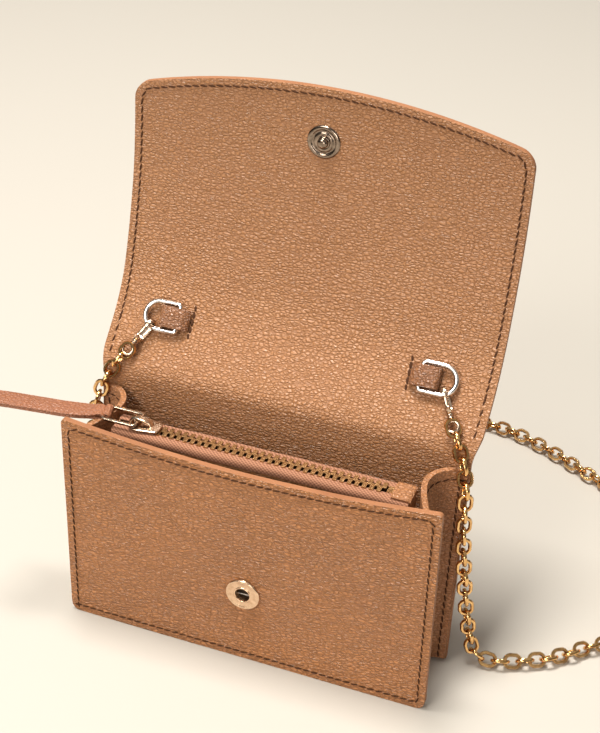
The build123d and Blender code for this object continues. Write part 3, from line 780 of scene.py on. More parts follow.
def flap_angle(s):
    """Slope of the back panel and flap's middle line, by distance from the back fold."""
    if s < BASE_STRAIGHT:
        return BACK_ANGLE + (BASE_ANGLE - BACK_ANGLE) * smooth((s + FOLD_SOFT) / (2 * FOLD_SOFT))
    if s < base_length:
        return BASE_ANGLE + (FOLD_ANGLE - BASE_ANGLE) * (s - BASE_STRAIGHT) / BASE_CURVE
    return FOLD_ANGLE + (TIP_ANGLE - FOLD_ANGLE) * (s - base_length) / FRONT_LENGTH


line = []
reach = -back_length
spot = Vector((BACK_FOOT - WALL / 2, 0.0))
while reach < flap_end + 12.0:
    line.append(spot.copy())
    slope = math.radians(flap_angle(reach + STEP / 2))
    spot += Vector((math.cos(slope), math.sin(slope))) * STEP
    reach += STEP


def flap_axes(s):
    """Directions along the flap and off its inner face, at a distance from the back fold."""
    slope = math.radians(flap_angle(s))
    return Vector((0.0, math.cos(slope), math.sin(slope))), Vector((0.0, -math.sin(slope), math.cos(slope)))


def flap_point(s, x, height):
    """Point over the middle line of the back panel and flap, towards its inner side."""
    k = min(max((s + back_length) / STEP, 0.0), len(line) - 1.001)
    share = k - int(k)
    middle = line[int(k)] * (1 - share) + line[int(k) + 1] * share
    slope = math.radians(flap_angle(s))
    y = middle.x - math.sin(slope) * height
    z = middle.y + math.cos(slope) * height
    return Vector((x + FLAP_SHIFT * smooth(s / 60.0), y, z))


def ripple(x, s):
    """Slow unevenness of a leather sheet, flat round the snap and at the rings, in millimetres."""
    calm = smooth((math.hypot(x, s - SNAP_REACH) - 6.0) / 10.0) * smooth((abs(s - RING_REACH) - 5.0) / 6.0)
    return RIPPLE * calm * noise.noise(Vector((x * 0.032, s * 0.04, 3.7)))


def flap_width(s):
    return body_half + (FLAP_HALF - body_half) * smooth((s + 5.0) / 10.0)


def flap_top(x):
    """Length of the flap at a place across it, with its corners rounded."""
    arch = flap_end - TIP_RISE * (x / FLAP_HALF) ** 2
    past = abs(x) - (FLAP_HALF - TIP_RADIUS)
    if past > 0:
        arch -= TIP_RADIUS - math.sqrt(max(TIP_RADIUS ** 2 - past ** 2, 0.0))
    return arch


def flap_skin(name, low, high, face_in, materials):
    """Skin of the whole back panel and flap, between two heights over its middle line."""
    across = crowded(FLAP_HALF, TIP_RADIUS, 44, 8)
    down = [-back_length + 0.4 + (back_length - 6.0) * k / 26 for k in range(26)]
    down += [-5.6 + 0.8 * k for k in range(15)]
    down += [6.4 + (base_length - 6.4) * k / 12 for k in range(12)]
    height = high if face_in else low
    rows = [[flap_point(s, x / FLAP_HALF * flap_width(s), height + ripple(x, s)) for x in across] for s in down]
    for share in [k / 30 for k in range(31)]:
        places = [(x, base_length + (flap_top(x) - base_length) * share) for x in across]
        rows.append([flap_point(s, x, height + ripple(x, s)) for x, s in places])
    piece = grid_piece(name, rows, materials, flip=not face_in)
    return settle(thicken(piece, high - low, rim=0.3 if high - low > 0.8 else 0.22))


def cut_piece(piece, name, s, keep_above):
    """Part of a flap skin above or below a place along it."""
    work = bmesh.new()
    work.from_mesh(piece.data)
    sliced = bmesh.ops.bisect_plane(
        work,
        geom=[*work.verts, *work.edges, *work.faces],
        plane_co=flap_point(s, 0.0, 0.0) * MM,
        plane_no=flap_axes(s)[0],
        clear_inner=keep_above,
        clear_outer=not keep_above,
    )
    rim = [e for e in sliced["geom_cut"] if isinstance(e, bmesh.types.BMEdge)]
    bmesh.ops.edgeloop_fill(work, edges=rim)
    bmesh.ops.recalc_face_normals(work, faces=work.faces)
    mesh = bpy.data.meshes.new(name)
    work.to_mesh(mesh)
    work.free()
    for material in piece.data.materials:
        mesh.materials.append(material)
    soften(mesh, 40.0)
    return new_object(name, mesh)


def hinge_back(piece):
    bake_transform(piece)


def hinge_front(piece):
    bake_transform(piece)


for label, back_node, low, high, face_in, cover in (
    ("leather", "back_panel", -WALL / 2, -WALL / 2 + LEATHER, False, TAN),
    ("lining", "back_lining", -WALL / 2 + LEATHER, WALL / 2, True, TAN_INSIDE),
):
    whole = flap_skin(f"whole_{label}", low, high, face_in, [cover, CUT_EDGE])
    lower = cut_piece(whole, f"back_and_fold_{label}", CUT_AT, False)
    upper = cut_piece(whole, f"flap_front_{label}", CUT_AT, True)
    bpy.data.objects.remove(whole)
    hinge_back(lower)
    hinge_front(upper)
    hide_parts(back_node, f"flap_base_{label}")
    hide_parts(f"flap_{label}")


# ---- flap stitches
def side_seams(first, last, height):
    """Lines down both sides of the flap."""
    lines = []
    for side in (-1, 1):
        steps = [first + (last - first) * k / 40 for k in range(41)]
        places = [(side * (flap_width(s) - EDGE_INSET), s) for s in steps]
        lines.append([flap_point(s, x, height + ripple(x, s)) for x, s in places])
    return lines


def tip_seam(height):
    """Line round the flap's free edge."""
    points = []
    inner = FLAP_HALF - EDGE_INSET
    turn = TIP_RADIUS - EDGE_INSET
    for k in range(61):
        x = -inner + 2 * inner * k / 60
        s = flap_end - EDGE_INSET - TIP_RISE * (x / FLAP_HALF) ** 2
        past = abs(x) - (inner - turn)
        if past > 0:
            s -= turn - math.sqrt(max(turn ** 2 - past ** 2, 0.0))
        points.append(flap_point(s, x, height + ripple(x, s)))
    return points


tip_start = flap_end - EDGE_INSET - TIP_RISE - 2.0
low_runs = []
high_runs = []
for first, height in ((-back_length + 2.5, -WALL / 2 - STITCH_RAISE), (4.0, WALL / 2 + STITCH_RAISE)):
    low_runs.append(sew("low_run", side_seams(first, CUT_AT, height), (0.0, 0.9, -0.4)))
    left_seam, right_seam = side_seams(CUT_AT + 1.2, tip_start, height)
    seam = [left_seam + tip_seam(height) + right_seam[::-1]]
    high_runs.append(sew("high_run", seam, (0.0, 0.95, -0.3)))
hinge_back(join_pieces("back_seam_stitches", low_runs))
hinge_front(join_pieces("flap_seam_stitches", high_runs))


# ---- front panel
def mouth_height(x):
    """Top of the front panel, with its corners rounded."""
    top = body_height - MOUTH_DIP * (1 - (x / body_half) ** 2)
    past = abs(x) - (body_half - MOUTH_CORNER)
    if past > 0:
        top -= MOUTH_CORNER - math.sqrt(max(MOUTH_CORNER ** 2 - past ** 2, 0.0))
    return top


def front_face(x, z):
    """Outer face of the front panel, a little full at the mouth."""
    lean = front_foot + front_lean * z / body_height
    full = MOUTH_BULGE * math.cos(math.pi / 2 * x / body_half) ** 1.5 * smooth((z - 8.0) / 50.0)
    return lean - full + 0.6 * ripple(x, z + 40.0)


def front_skin(name, behind, thickness, foot, material):
    rows = []
    for share in (0.0, 0.002, 0.005, 0.01, 0.017, *(k / 40 for k in range(1, 41))):
        row = []
        for x in crowded(body_half, MOUTH_CORNER, 52, 5):
            z = foot + (mouth_height(x) - foot) * share
            past = max(FOOT_RADIUS - (z - foot), 0.0)
            narrow = 1 - (FOOT_RADIUS - math.sqrt(FOOT_RADIUS ** 2 - past ** 2)) / body_half
            row.append((x * narrow, front_face(x, z) + behind, z))
        rows.append(row)
    piece = grid_piece(name, rows, [material, CUT_EDGE])
    return thicken(piece, thickness, rim=0.3 if thickness > 0.8 else 0.22)


BARREL_HOLE = 3.05
socket_middle = sum(box_mm("snap_socket"), Vector()) / 2
lean_angle = math.atan2(front_lean, body_height)
socket_axis = Vector((0.0, -math.cos(lean_angle), math.sin(lean_angle)))
socket_face = Vector((0.0, front_foot + front_lean * socket_middle.z / body_height, socket_middle.z))


def bore(piece):
    """Hole through a front skin for the snap's barrel."""
    profile = [(0, -6), (BARREL_HOLE, -6), (BARREL_HOLE, 6), (0, 6)]
    cutter = lathe("cutter", profile, socket_face, socket_axis, None, segments=48)
    cut = piece.modifiers.new("bore", "BOOLEAN")
    cut.operation = "DIFFERENCE"
    cut.object = cutter
    cut.solver = "EXACT"
    piece = settle(piece)
    bpy.data.objects.remove(cutter)
    return piece


front_leather = bore(front_skin("front_leather", 0.0, LEATHER, 0.0, TAN_FRONT))
front_lining = bore(front_skin("front_lining_leather", LEATHER, LINING, 0.8, TAN_INSIDE))
place(front_leather, "wallet", "leather", "front_panel")
place(front_lining, "wallet", "lining", "front_lining")

inner_half = body_half - EDGE_INSET
rises = [(body_height - 2.6 * EDGE_INSET) * k / 30 for k in range(31)]
front_line = [(-inner_half, EDGE_INSET + rise) for rise in rises]
for k in range(1, 60):
    x = -inner_half + 2 * inner_half * k / 60
    front_line.append((x, mouth_height(x) - EDGE_INSET))
front_line += [(inner_half, body_height - 1.6 * EDGE_INSET - rise) for rise in rises]
front_line += [(inner_half - 2 * inner_half * k / 60, EDGE_INSET) for k in range(1, 61)]
front_runs = []
for raise_by in (-STITCH_RAISE, WALL + STITCH_RAISE):
    seam = [(x, front_face(x, z) + raise_by, z) for x, z in front_line]
    front_runs.append(sew("front_run", [seam], (0.0, -1.0, 0.0)))
back_across = [-inner_half + 2 * inner_half * k / 30 for k in range(31)]
foot_seam = [flap_point(-back_length + 2.4, x, -WALL / 2 - STITCH_RAISE) for x in back_across]
front_runs.append(sew("foot_run", [foot_seam], (0.0, 1.0, 0.0)))
place(join_pieces("front_seam_stitches", front_runs), "wallet", "leather")

# ---- gussets and base
GUSSET_SHEET = 1.5
GUSSET_TOP = 61.4
GUSSET_FOOT = 1.2
GUSSET_SPAN = 61.5               # height over which the fold slopes
GUSSET_FOLD_X = 43.3             # how near the middle the fold comes
GUSSET_SEAM = 0.82               # seam's distance from the fold's flange
LIP_SEAM_Z = 59.2
GUSSET_ACROSS = 44


def gusset_line(z):
    """Knots that steer the right gusset's fold at one height, from its front seam to its back seam."""
    near = front_foot + front_lean * z / body_height + WALL + 0.5
    far = BACK_FOOT + BACK_LEAN * z / body_height - WALL - 0.5
    high = z / GUSSET_SPAN
    deep_y = 1.4 + 6.2 * smooth(high)
    knots = [
        (body_half - 0.3, near), (body_half - 3.2, near + 0.1), (body_half - 6.0, near + 1.6 + 2.2 * high),
        (GUSSET_FOLD_X, deep_y - 3.0), (GUSSET_FOLD_X, deep_y + 1.5),
        (body_half - 7.2, far - 2.6), (body_half - 3.6, far - 0.1), (body_half - 0.3, far),
    ]
    return [Vector((x, y, z)) for x, y in knots]


def spline_through(knots):
    """Points of an even quadratic B-spline that the knots steer."""
    steered = [knots[0], *knots, knots[-1]]
    spans = len(steered) - 2
    points = []
    for k in range(GUSSET_ACROSS + 1):
        t = k / GUSSET_ACROSS * spans
        i = min(int(t), spans - 1)
        u = t - i
        a, b, c = steered[i:i + 3]
        points.append(a * (0.5 * (1 - u) ** 2) + b * (0.5 + u - u * u) + c * (0.5 * u * u))
    return points


def gusset(name, side):
    rows = []
    for k in range(31):
        full = 0.9 * smooth(k / 30) ** 4
        row = []
        for j, p in enumerate(spline_through(gusset_line(GUSSET_FOOT + (GUSSET_TOP - GUSSET_FOOT) * k / 30))):
            row.append((side * p.x, p.y, p.z + full * math.sin(math.pi * j / GUSSET_ACROSS)))
        rows.append(row)
    piece = grid_piece(name, rows, [TAN, TAN], flip=side > 0)
    return settle(thicken(piece, GUSSET_SHEET, rim=0.6, segments=4, offset=0, even=False))


def gusset_seams(name, side):
    """Stitches along the gusset's lip and down its two flanges."""
    lip = [Vector((side * p.x, p.y, p.z)) for p in spline_through(gusset_line(LIP_SEAM_Z))[4:41]]
    outward = []
    for k, p in enumerate(lip):
        along = lip[min(k + 1, len(lip) - 1)] - lip[max(k - 1, 0)]
        outward.append(p + Vector((along.y, -along.x, 0)).normalized() * side * 0.8)
    x = side * (body_half - EDGE_INSET)
    lines = [gusset_line(2.6 + (57.0 - 2.6) * k / 30) for k in range(31)]
    near = [(x, knots[1].y + GUSSET_SEAM, knots[1].z) for knots in lines]
    far = [(x, knots[-2].y - GUSSET_SEAM, knots[-2].z) for knots in lines]
    runs = ((outward, (side, 0.1, 0.0)), (near, (0.0, 1.0, 0.0)), (far, (0.0, -1.0, 0.0)))
    return join_pieces(f"{name}_gusset_stitches", [sew("run", [points], face) for points, face in runs])


for name, side in SIDES:
    place(gusset(f"{name}_gusset_leather", side), "wallet", "leather", f"{name}_gusset")
    place(gusset_seams(name, side), "wallet", "leather")

BASE_SHEET = 0.85
base_across = crowded(body_half - BASE_RECESS, 1.0, 30, 3)
base_rows = [[(x, y, BASE_SHEET) for x in base_across] for y in (-9.9, -5, 0, 5, 9.9)]
base = settle(thicken(grid_piece("base_leather", base_rows, [TAN, CUT_EDGE]), BASE_SHEET, rim=0.2))
place(base, "wallet", "leather", "base_panel")

# ---- coin pocket
pocket_low, pocket_high = box_mm("coin_pocket_ends")
pocket_front = box_mm("coin_pocket_front")[0].y
POCKET_Y = (pocket_low.y + pocket_high.y) / 2
POCKET_WALL = pocket_low.y - pocket_front
POCKET_DEPTH = POCKET_Y - pocket_front


def pocket_ring(inset, z):
    """Closed line round the pocket at one height, set in from its outer face."""
    half_x, half_y = pocket_high.x - inset, POCKET_DEPTH - inset
    corner = max(1.5 - inset, 0.5)
    bends = ring_section(half_x, half_y, corner)
    run = [(half_x - corner) * (1 - k / 20) for k in range(1, 40)]
    back, front = [(x, half_y) for x in run], [(-x, -half_y) for x in run]
    ring = []
    for x, y in bends[:5] + back + bends[5:15] + front + bends[15:]:
        slack = 0.35 * math.cos(math.pi / 2 * x / half_x) * noise.noise(Vector((x * 0.05, z * 0.05, y)))
        ring.append((x, y + POCKET_Y + slack * smooth((pocket_high.z - z) / 20.0), z))
    return ring


pocket_tall = pocket_high.z - pocket_low.z
levels = [(0.25, pocket_low.z), (0.0, pocket_low.z + 0.3)]
levels += [(0.0, pocket_low.z + 0.3 + (pocket_tall - 0.6) * k / 24) for k in range(1, 25)]
levels += [(0.2, pocket_high.z - 0.02), (POCKET_WALL - 0.2, pocket_high.z - 0.02)]
levels += [(POCKET_WALL, pocket_high.z - 0.3 - (pocket_tall - 1.5) * k / 24) for k in range(25)]
rings = [pocket_ring(inset, z) for inset, z in levels]
pocket_points = [p for ring in rings for p in ring]
pocket = mesh_piece("coin_pocket", pocket_points, loft_faces(len(rings), len(rings[0])), TAN_INSIDE)
place(
    pocket, "wallet", "lining", "coin_pocket_front", "coin_pocket_back", "coin_pocket_ends", "coin_pocket_base",
)

# ---- snap
FINE = dict(segments=96, sharp=60.0)
snap_axis = flap_axes(SNAP_REACH)[1]
snap_seat = flap_point(SNAP_REACH, 0.0, WALL / 2)
snap_seat.x = 0.0
stud_profile = [(0.0, -0.3), (1.0, -0.3), (1.0, 0.05)] + rounded(
    [(1.0, 0.05), (4.5, 0.05), (4.55, 0.25), (4.1, 0.5), (3.55, 0.5), (3.2, 0.22), (2.75, 0.22), (2.45, 0.5),
     (1.9, 0.5), (1.55, 0.4), (1.3, 0.6), (1.5, 1.15), (1.35, 1.6), (0.8, 1.95), (0.0, 2.0)],
    radius=0.3, steps=4,
)
stud = lathe("snap_stud_cap", stud_profile, snap_seat, snap_axis, DARK_NICKEL, **FINE)
place(stud, "flap_front", "nickel", "snap_stud")
cap_profile = rounded(
    [(0.0, -0.82), (2.6, -0.78), (4.6, -0.45), (5.05, -0.1), (4.95, 0.02), (1.1, 0.02)], radius=0.5, steps=5,
) + [(1.0, 0.1), (1.0, 0.5), (0.0, 0.5)]
cap_seat = flap_point(SNAP_REACH, 0.0, -WALL / 2) - X * FLAP_SHIFT
cap = lathe("snap_outer_cap", cap_profile, cap_seat, snap_axis, NICKEL, **FINE)
place(cap, "flap_front", "nickel", "snap_cap")
socket_profile = rounded(
    [(3.0, -2.08), (3.02, 0.0), (4.8, 0.0), (5.0, 0.3), (4.75, 0.75), (4.15, 0.85), (3.7, 0.65), (2.6, 0.6),
     (2.45, 0.8), (2.1, 0.8), (1.95, 0.4), (1.9, -1.2), (2.4, -1.7), (2.4, -2.08), (3.0, -2.08)],
    radius=0.22, steps=4,
)
socket = lathe("snap_socket_ring", socket_profile, socket_face, socket_axis, ROSE_GOLD, **FINE)
place(socket, "wallet", "gold", "snap_socket")
# Painted shade: a near-black disc inside the socket's hole, where only shade falls.
hollow_shade_profile = [(0.0, -1.9), (2.35, -1.9), (2.35, -1.6), (0.0, -1.6)]
place(lathe("snap_hollow_shade", hollow_shade_profile, socket_face, socket_axis, HOLLOW_SHADE), "wallet", "gold")

# ---- clips
GRIP = 1.7                       # radius of the hook's round ends, at the wire's middle
HOOK_LENGTH = 3.4
GATE_PIN = 3.95
GATE_LINE = [
    (4.75, 2.55), (4.5, 2.3), (4.2, 1.95), (3.95, 1.74), (3.4, 1.66), (2.6, 1.66), (1.8, 1.68), (1.02, 1.7),
]
NECK = [
    (0.0, -0.1), (0.75, -0.1), (0.95, 0.25), (0.95, 0.6), (0.7, 0.8), (0.7, 1.0), (0.9, 1.15), (0.9, 1.36),
    (0.0, 1.36),
]


def clip_frame(side):
    """Middle of a clip's hook, its length direction, its outward normal and its pin direction."""
    start = pivot_mm("right_swivel_turn")
    length = Vector(JOINTS["right_swivel_turn"]["axis"]).normalized()
    pin = Vector(JOINTS["right_hook_lift"]["axis"]).normalized()
    outward = pin.cross(length)
    if side < 0:
        start, length, outward = (Vector((-v.x, v.y, v.z)) for v in (start, length, outward))
        pin = length.cross(outward)
    return start, length, outward, pin


for name, side in SIDES:
    start, length, outward, pin = clip_frame(side)
    pin_angle = math.degrees(math.asin((GATE_PIN - HOOK_LENGTH) / GRIP))
    path = arc(start + length * HOOK_LENGTH, outward, length, GRIP, pin_angle + 8.0, 180.0, 18)
    path += [start + length * (HOOK_LENGTH * (1 - k / 6)) - outward * GRIP for k in range(1, 6)]
    path += arc(start, -outward, -length, GRIP, 0.0, 180.0, 18)
    path += [start + outward * GRIP + length * t for t in (0.25, 0.5, 0.72)]
    sections = []
    for share in [k / (len(path) - 1) for k in range(len(path))]:
        wide = 0.66 + 0.34 * math.exp(-((share - 0.36) / 0.26) ** 2)
        sections.append(ring_section(wide, 0.42 - 0.1 * smooth((share - 0.8) / 0.2), 0.3, 3))
    hook = sweep("hook", path, pin, sections, WARM_NICKEL)
    neck = lathe("neck", rounded(NECK, 0.1), start + length * 5.2, length, WARM_NICKEL, segments=28)
    clip = join_pieces(f"{name}_clip_body", [hook, neck])
    place(clip, f"{name}_hook", "nickel", f"{name}_clip", f"{name}_gate_pin")
    path = [start + length * a + outward * b for a, b in GATE_LINE]
    sections = [ring_section(0.42 if 0 < k < 7 else 0.3, 0.26 if k else 0.2, 0.2, 3) for k in range(8)]
    gate = sweep(f"{name}_clip_gate", path, pin, sections, WARM_NICKEL)
    place(gate, f"{name}_gate", "nickel", f"{name}_gate")

# ---- rings and the tabs that hold them
TAB_INNER = 31.9
TAB_OUTER = 39.9
TAB_HALF = 2.95
TAB_BEND = 1.17
SLIT_X = 31.1
RING_ARC_X = 40.4
RING_BAR_X = 34.7
RING_RADIUS = 3.9
RING_WIRE = 0.72
RING_KNEE = 0.78
TAB_TOP = ((36.6, 0.03), (35.2, 0.0), (34.0, -0.14), (33.0, -0.55), (32.3, -1.25), (31.9, -2.0))
SLIT_STITCH = dict(
    Pitch=2.05 * MM, Length=2.2 * MM, Width=0.95 * MM, Height=0.6 * MM, Slant=math.radians(8.0),
)
up_slope, off_slope = flap_axes(RING_REACH)
ring_seat = flap_point(RING_REACH, 0.0, WALL / 2)
ring_seat.x = 0.0
for name, side in SIDES:
    out = X * side
    low = ring_seat + off_slope * 0.42
    high = ring_seat + off_slope * 2.75
    nose_middle = (low + high) / 2 + out * (TAB_OUTER - 1.55)
    path = [low + out * x for x in (TAB_INNER + 0.3, 33.5, 35.0, 36.5)]
    path += arc(nose_middle, -off_slope, out, TAB_BEND, 0.0, 180.0, 10)
    path += [high + out * x + off_slope * lift for x, lift in TAB_TOP]
    tab = sweep(f"{name}_ring_loop", path, up_slope, ring_section(TAB_HALF, 0.38, 0.22, 3), TAB_LEATHER)
    place(tab, "flap_base", "leather", f"{name}_ring_tab")
    foot = ring_seat + off_slope * 0.06
    slit = [foot + out * (SLIT_X - 0.02 * t) + up_slope * t for t in (-4.1, -2.0, 0.0, 2.0, 4.1)]
    slit_curve = curve_piece(f"{name}_tab_stitches", [slit])
    sewn = run_along(slit_curve, STITCHES, THREAD, Face=tuple(off_slope), **SLIT_STITCH)
    place(sewn, "flap_base", "leather")
    hold = ring_seat + off_slope * 1.7
    path = arc(hold + out * RING_ARC_X, up_slope, out, RING_RADIUS, 0.0, 180.0, 24)
    for turn, first in ((-1, 180.0), (1, 270.0)):
        knee = hold + out * (RING_BAR_X + RING_KNEE) + up_slope * turn * (RING_RADIUS - RING_KNEE)
        path += arc(knee, up_slope, out, RING_KNEE, first, first + 90.0, 6)
    wire = ring_section(RING_WIRE, RING_WIRE, RING_WIRE, 3)
    ring = sweep(f"{name}_ring_wire", path, off_slope, wire, NICKEL, closed=True)
    place(ring, f"{name}_ring", "nickel", f"{name}_d_ring")

# ---- zip
ZIP_LEFT = -33.0
ZIP_RIGHT = 33.0
TEETH_PITCH = 2.0
TEETH_Y = 0.85                   # from the zip's middle to each row's
TAPE_HALF = 41.6
TAPE_LINE = ((0.0, 0.4), (0.7, 0.45), (1.5, 0.42), (2.05, 0.3), (2.32, 0.0), (2.4, -0.5), (2.4, -1.3))
tape_low, tape_high = box_mm("zip_tape_front")
teeth_z = (tape_low.z + tape_high.z) / 2


def tape(name, side):
    """Woven tape from the teeth's roots, over the pocket's edge and down its face."""
    start = POCKET_Y + side * 1.25
    rows = []
    for out, lift in TAPE_LINE:
        row = []
        for k in range(61):
            x = -TAPE_HALF + 2 * TAPE_HALF * k / 60
            sway = 0.18 * noise.noise(Vector((x * 0.09, side * 3.0, out * 0.3)))
            y = start + side * (out + 0.05) + sway * (out > 0.5)
            row.append((x, y, teeth_z - 0.35 + lift + 0.5 * sway))
        rows.append(row)
    return settle(thicken(grid_piece(name, rows, [TAPE, TAPE], flip=side > 0), 0.35, rim=0.1, segments=2))


for name, side, shift in (("front", -1, 0.0), ("back", 1, TEETH_PITCH / 2)):
    row = [(x + shift, POCKET_Y + side * TEETH_Y, teeth_z + 0.15) for x in (ZIP_LEFT, ZIP_RIGHT)]
    teeth = run_along(
        curve_piece(f"zip_teeth_{name}_row", [row]), TEETH, BRASS, Face=(0.0, 0.0, 1.0),
        Pitch=TEETH_PITCH * MM, Width=1.15 * MM, Length=2.5 * MM, Height=1.35 * MM,
    )
    place(teeth, "wallet", "zip_brass", f"zip_teeth_{name}")
    place(tape(f"zip_{name}_tape", side), "wallet", "zip_tape", f"zip_tape_{name}")

end_low, end_high = box_mm("zip_end_tab")
end_across = (end_low.x, end_low.x + 1.2, end_low.x + 2.6, end_high.x - 0.5, end_high.x + 0.3)
end_rows = []
for k in range(9):
    y = end_low.y - 0.3 + (end_high.y - end_low.y + 0.6) * k / 8
    z = end_high.z + 0.25 - 0.35 * (2 * k / 8 - 1) ** 4
    end_rows.append([(x, y, z - (0.5 if x > end_high.x - 0.4 else 0.0)) for x in end_across])
end_tab = settle(thicken(grid_piece("zip_end_leather", end_rows, [TAN, CUT_EDGE]), 1.0, rim=0.25))
place(end_tab, "wallet", "leather", "zip_end_tab")

# ---- slider
pull_pivot = pivot_mm("pull_lift")
strap_pivot = pivot_mm("strap_lift")
slider_low, slider_high = box_mm("zip_slider_top")
plate_outline = [
    (slider_low.x + 0.2, 0.0), (slider_low.x + 0.5, 1.9), (slider_low.x + 1.5, 3.1), (slider_low.x + 3.6, 3.4),
    (slider_low.x + 6.0, 2.75), (slider_high.x - 0.8, 2.45), (slider_high.x - 0.1, 1.7), (slider_high.x, 0.0),
]
bridge_line = (
    (-2.3, -0.95), (-2.1, -0.1), (-1.5, 0.62), (-0.5, 0.85), (0.8, 0.85), (2.2, 0.6), (3.4, 0.1), (4.0, -0.9),
)


def slider_plate(name, low, thick, crown, widen):
    ring = [Vector((x, POCKET_Y + y * widen, 0.0)) for x, y in plate_outline]
    ring += [Vector((x, POCKET_Y - y * widen, 0.0)) for x, y in reversed(plate_outline[1:-1])]
    middle = Vector(((slider_low.x + slider_high.x) / 2, POCKET_Y, 0.0))
    points = []
    levels = [(0.001, low), (0.93, low), (1.0, low + 0.18), (1.0, low + thick - 0.22), (0.93, low + thick),
              (0.6, low + thick + crown * 0.75), (0.001, low + thick + crown)]
    for share, z in levels:
        points += [middle + (spot - middle) * share + Z * z for spot in ring]
    plate = mesh_piece(name, points, loft_faces(len(levels), len(ring), capped=False), WARM_NICKEL, 50.0)
    soft = plate.modifiers.new("soft", "SUBSURF")
    soft.levels = 2
    soft.render_levels = 2
    return settle(plate, 60.0)


top_plate = slider_plate("slider_plate", slider_low.z, 0.75, 0.12, 1.0)
bridge_path = [Vector((pull_pivot.x + dx, POCKET_Y, pull_pivot.z + dz)) for dx, dz in bridge_line]
bridge = sweep("bridge", bridge_path, Y, ring_section(0.95, 0.3, 0.22, 3), WARM_NICKEL)
slider = join_pieces("zip_slider_body", [top_plate, bridge])
place(slider, "zip_slider", "zip_brass", "zip_slider_top")
under = slider_plate("zip_slider_foot", box_mm("zip_slider_base")[0].z, 0.7, 0.0, 0.62)
place(under, "zip_slider", "zip_brass", "zip_slider_base")


def rounded_loop(middle, half_u, half_v, v, corner, count):
    """Closed path round a rectangle that lies along X and another direction."""
    path = []
    for su, sv, first in CORNERS:
        knee = middle + X * (su * (half_u - corner)) + v * (sv * (half_v - corner))
        path += arc(knee, X, v, corner, first, first + 90.0, count)
    return path


# ---- pull, strap and the tie round the coil
PULL_HALF = 2.9
pull_middle = Vector(((pull_pivot.x + strap_pivot.x) / 2, POCKET_Y, pull_pivot.z))
pull_path = rounded_loop(pull_middle, (pull_pivot.x - strap_pivot.x) / 2, PULL_HALF, Y, 0.9, 7)
pull = sweep("zip_pull_frame", pull_path, Z, ring_section(0.42, 0.5, 0.3, 3), WARM_NICKEL, closed=True)
place(pull, "zip_pull", "zip_brass", "zip_pull")

STRAP_HALF = 2.3
STRAP_LENGTH = 33.5
STRAP_SKEW = math.radians(13.0)
STRAP_LOOP = 0.86
LAYER_HALF = 0.34
strap_out = Vector((-math.cos(STRAP_SKEW), -math.sin(STRAP_SKEW), 0.0))
strap_across = Vector((math.sin(STRAP_SKEW), -math.cos(STRAP_SKEW), 0.0))
strap_loop = arc(strap_pivot - strap_out * 0.45, Z, -strap_out, STRAP_LOOP, -90.0, 90.0, 10)
upper, lower = [], []
for k in range(1, 25):
    reach = STRAP_LENGTH * (k / 24)
    gap = LAYER_HALF * 1.02 + (STRAP_LOOP - LAYER_HALF) * (1 - smooth(reach / 5.0))
    sag = -0.35 * math.sin(math.pi * min(reach / 16.0, 1.0)) + 1.1 * smooth((reach - 12.0) / 20.0)
    spot = strap_pivot + strap_out * reach + Z * sag
    upper.append(spot + Z * gap)
    lower.append(spot - Z * gap)
strap_path = lower[::-1] + strap_loop[::-1] + upper
widths = []
for spot in strap_path:
    reach = (spot - strap_pivot).dot(strap_out)
    widths.append(ring_section(STRAP_HALF + 0.55 * smooth(reach / 9.0), LAYER_HALF, 0.2, 3))
strap = sweep("zip_strap_leather", strap_path, strap_across, widths, STRAP_LEATHER)
place(strap, "zip_strap", "strap", "strap_leather")

TIE_INSET = 0.27
tie_low, tie_high = box_mm("coil_tie")
tie_half = (tie_high - tie_low) / 2
tie_middle = (tie_low + tie_high) / 2
tie_path = rounded_loop(tie_middle, tie_half.x - TIE_INSET, tie_half.z - TIE_INSET, Z, 1.2, 6)
tie = sweep("coil_tie_strap", tie_path, Y, ring_section(tie_half.y, 0.25, 0.15, 3), TAB_LEATHER, closed=True)
place(tie, "wallet", "tie", "coil_tie")

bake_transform(chain)

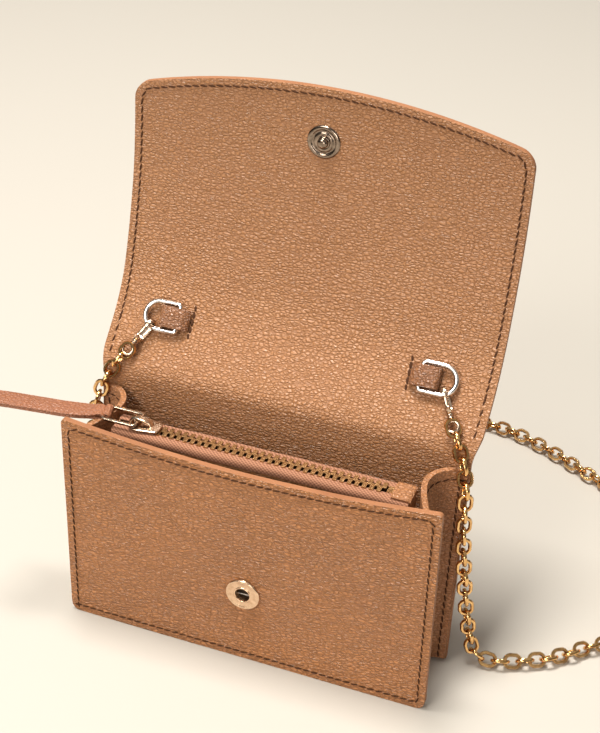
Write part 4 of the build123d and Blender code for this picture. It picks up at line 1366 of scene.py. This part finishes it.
# ---- finishes of the CAD pieces that stay
for node, metal in (
    ("snap_washer", GOLD), ("snap_spring", STEEL), ("right_eye", WARM_NICKEL), ("left_eye", WARM_NICKEL),
    ("zip_stop_left", BRASS), ("zip_stop_right", BRASS),
):
    node_mesh = frame["nodes"][node].data
    node_mesh.materials.clear()
    node_mesh.materials.append(metal)

# ---- floor, sky and lights
FLOOR_HALF = 3000
floor_rows = [[(x, y, -0.02) for x in (-FLOOR_HALF, 0, FLOOR_HALF)] for y in (-FLOOR_HALF, 0, FLOOR_HALF)]
floor_paint = new_material("pale_floor", (0.54, 0.505, 0.45), 0.9, Specular_IOR_Level=0.2)[0]
floor = grid_piece("floor", floor_rows, [floor_paint])
floor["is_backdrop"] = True

world = bpy.data.worlds.new("studio")
bpy.context.scene.world = world
world.use_nodes = True
sky = Nodes(world.node_tree)
around = sky.add("ShaderNodeTexCoord").outputs["Generated"]
height = sky.add("ShaderNodeSeparateXYZ", {0: around}).outputs[2]
background = world.node_tree.nodes["Background"]
sky.put(background, "Color", sky.mix(sky.span(height, 0.0, 0.8), (0.1, 0.085, 0.07), (1.0, 0.95, 0.88)))
sky.put(background, "Strength", 0.42)
bpy.context.scene.view_settings.view_transform = "Standard"


def area_light(name, spot, target, size, power, colour):
    lamp = bpy.data.lights.new(name, "AREA")
    lamp.shape = "RECTANGLE"
    lamp.size, lamp.size_y = size
    lamp.energy = power
    lamp.color = colour
    aim = (Vector(target) - Vector(spot)).to_track_quat("-Z", "Y").to_matrix().to_4x4()
    new_object(name, lamp).matrix_world = Matrix.Translation(spot) @ aim


area_light("key", (-0.3, -0.75, 0.75), (0.0, 0.02, 0.05), (0.45, 0.35), 6.0, (1.0, 0.96, 0.9))
area_light("top", (-0.15, 0.05, 1.1), (0.0, 0.02, 0.05), (0.35, 0.25), 16.0, (1.0, 0.97, 0.92))
area_light("fill", (0.15, -0.9, 0.22), (0.0, 0.0, 0.05), (0.4, 0.25), 2.0, (1.0, 0.96, 0.92))

low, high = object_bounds()
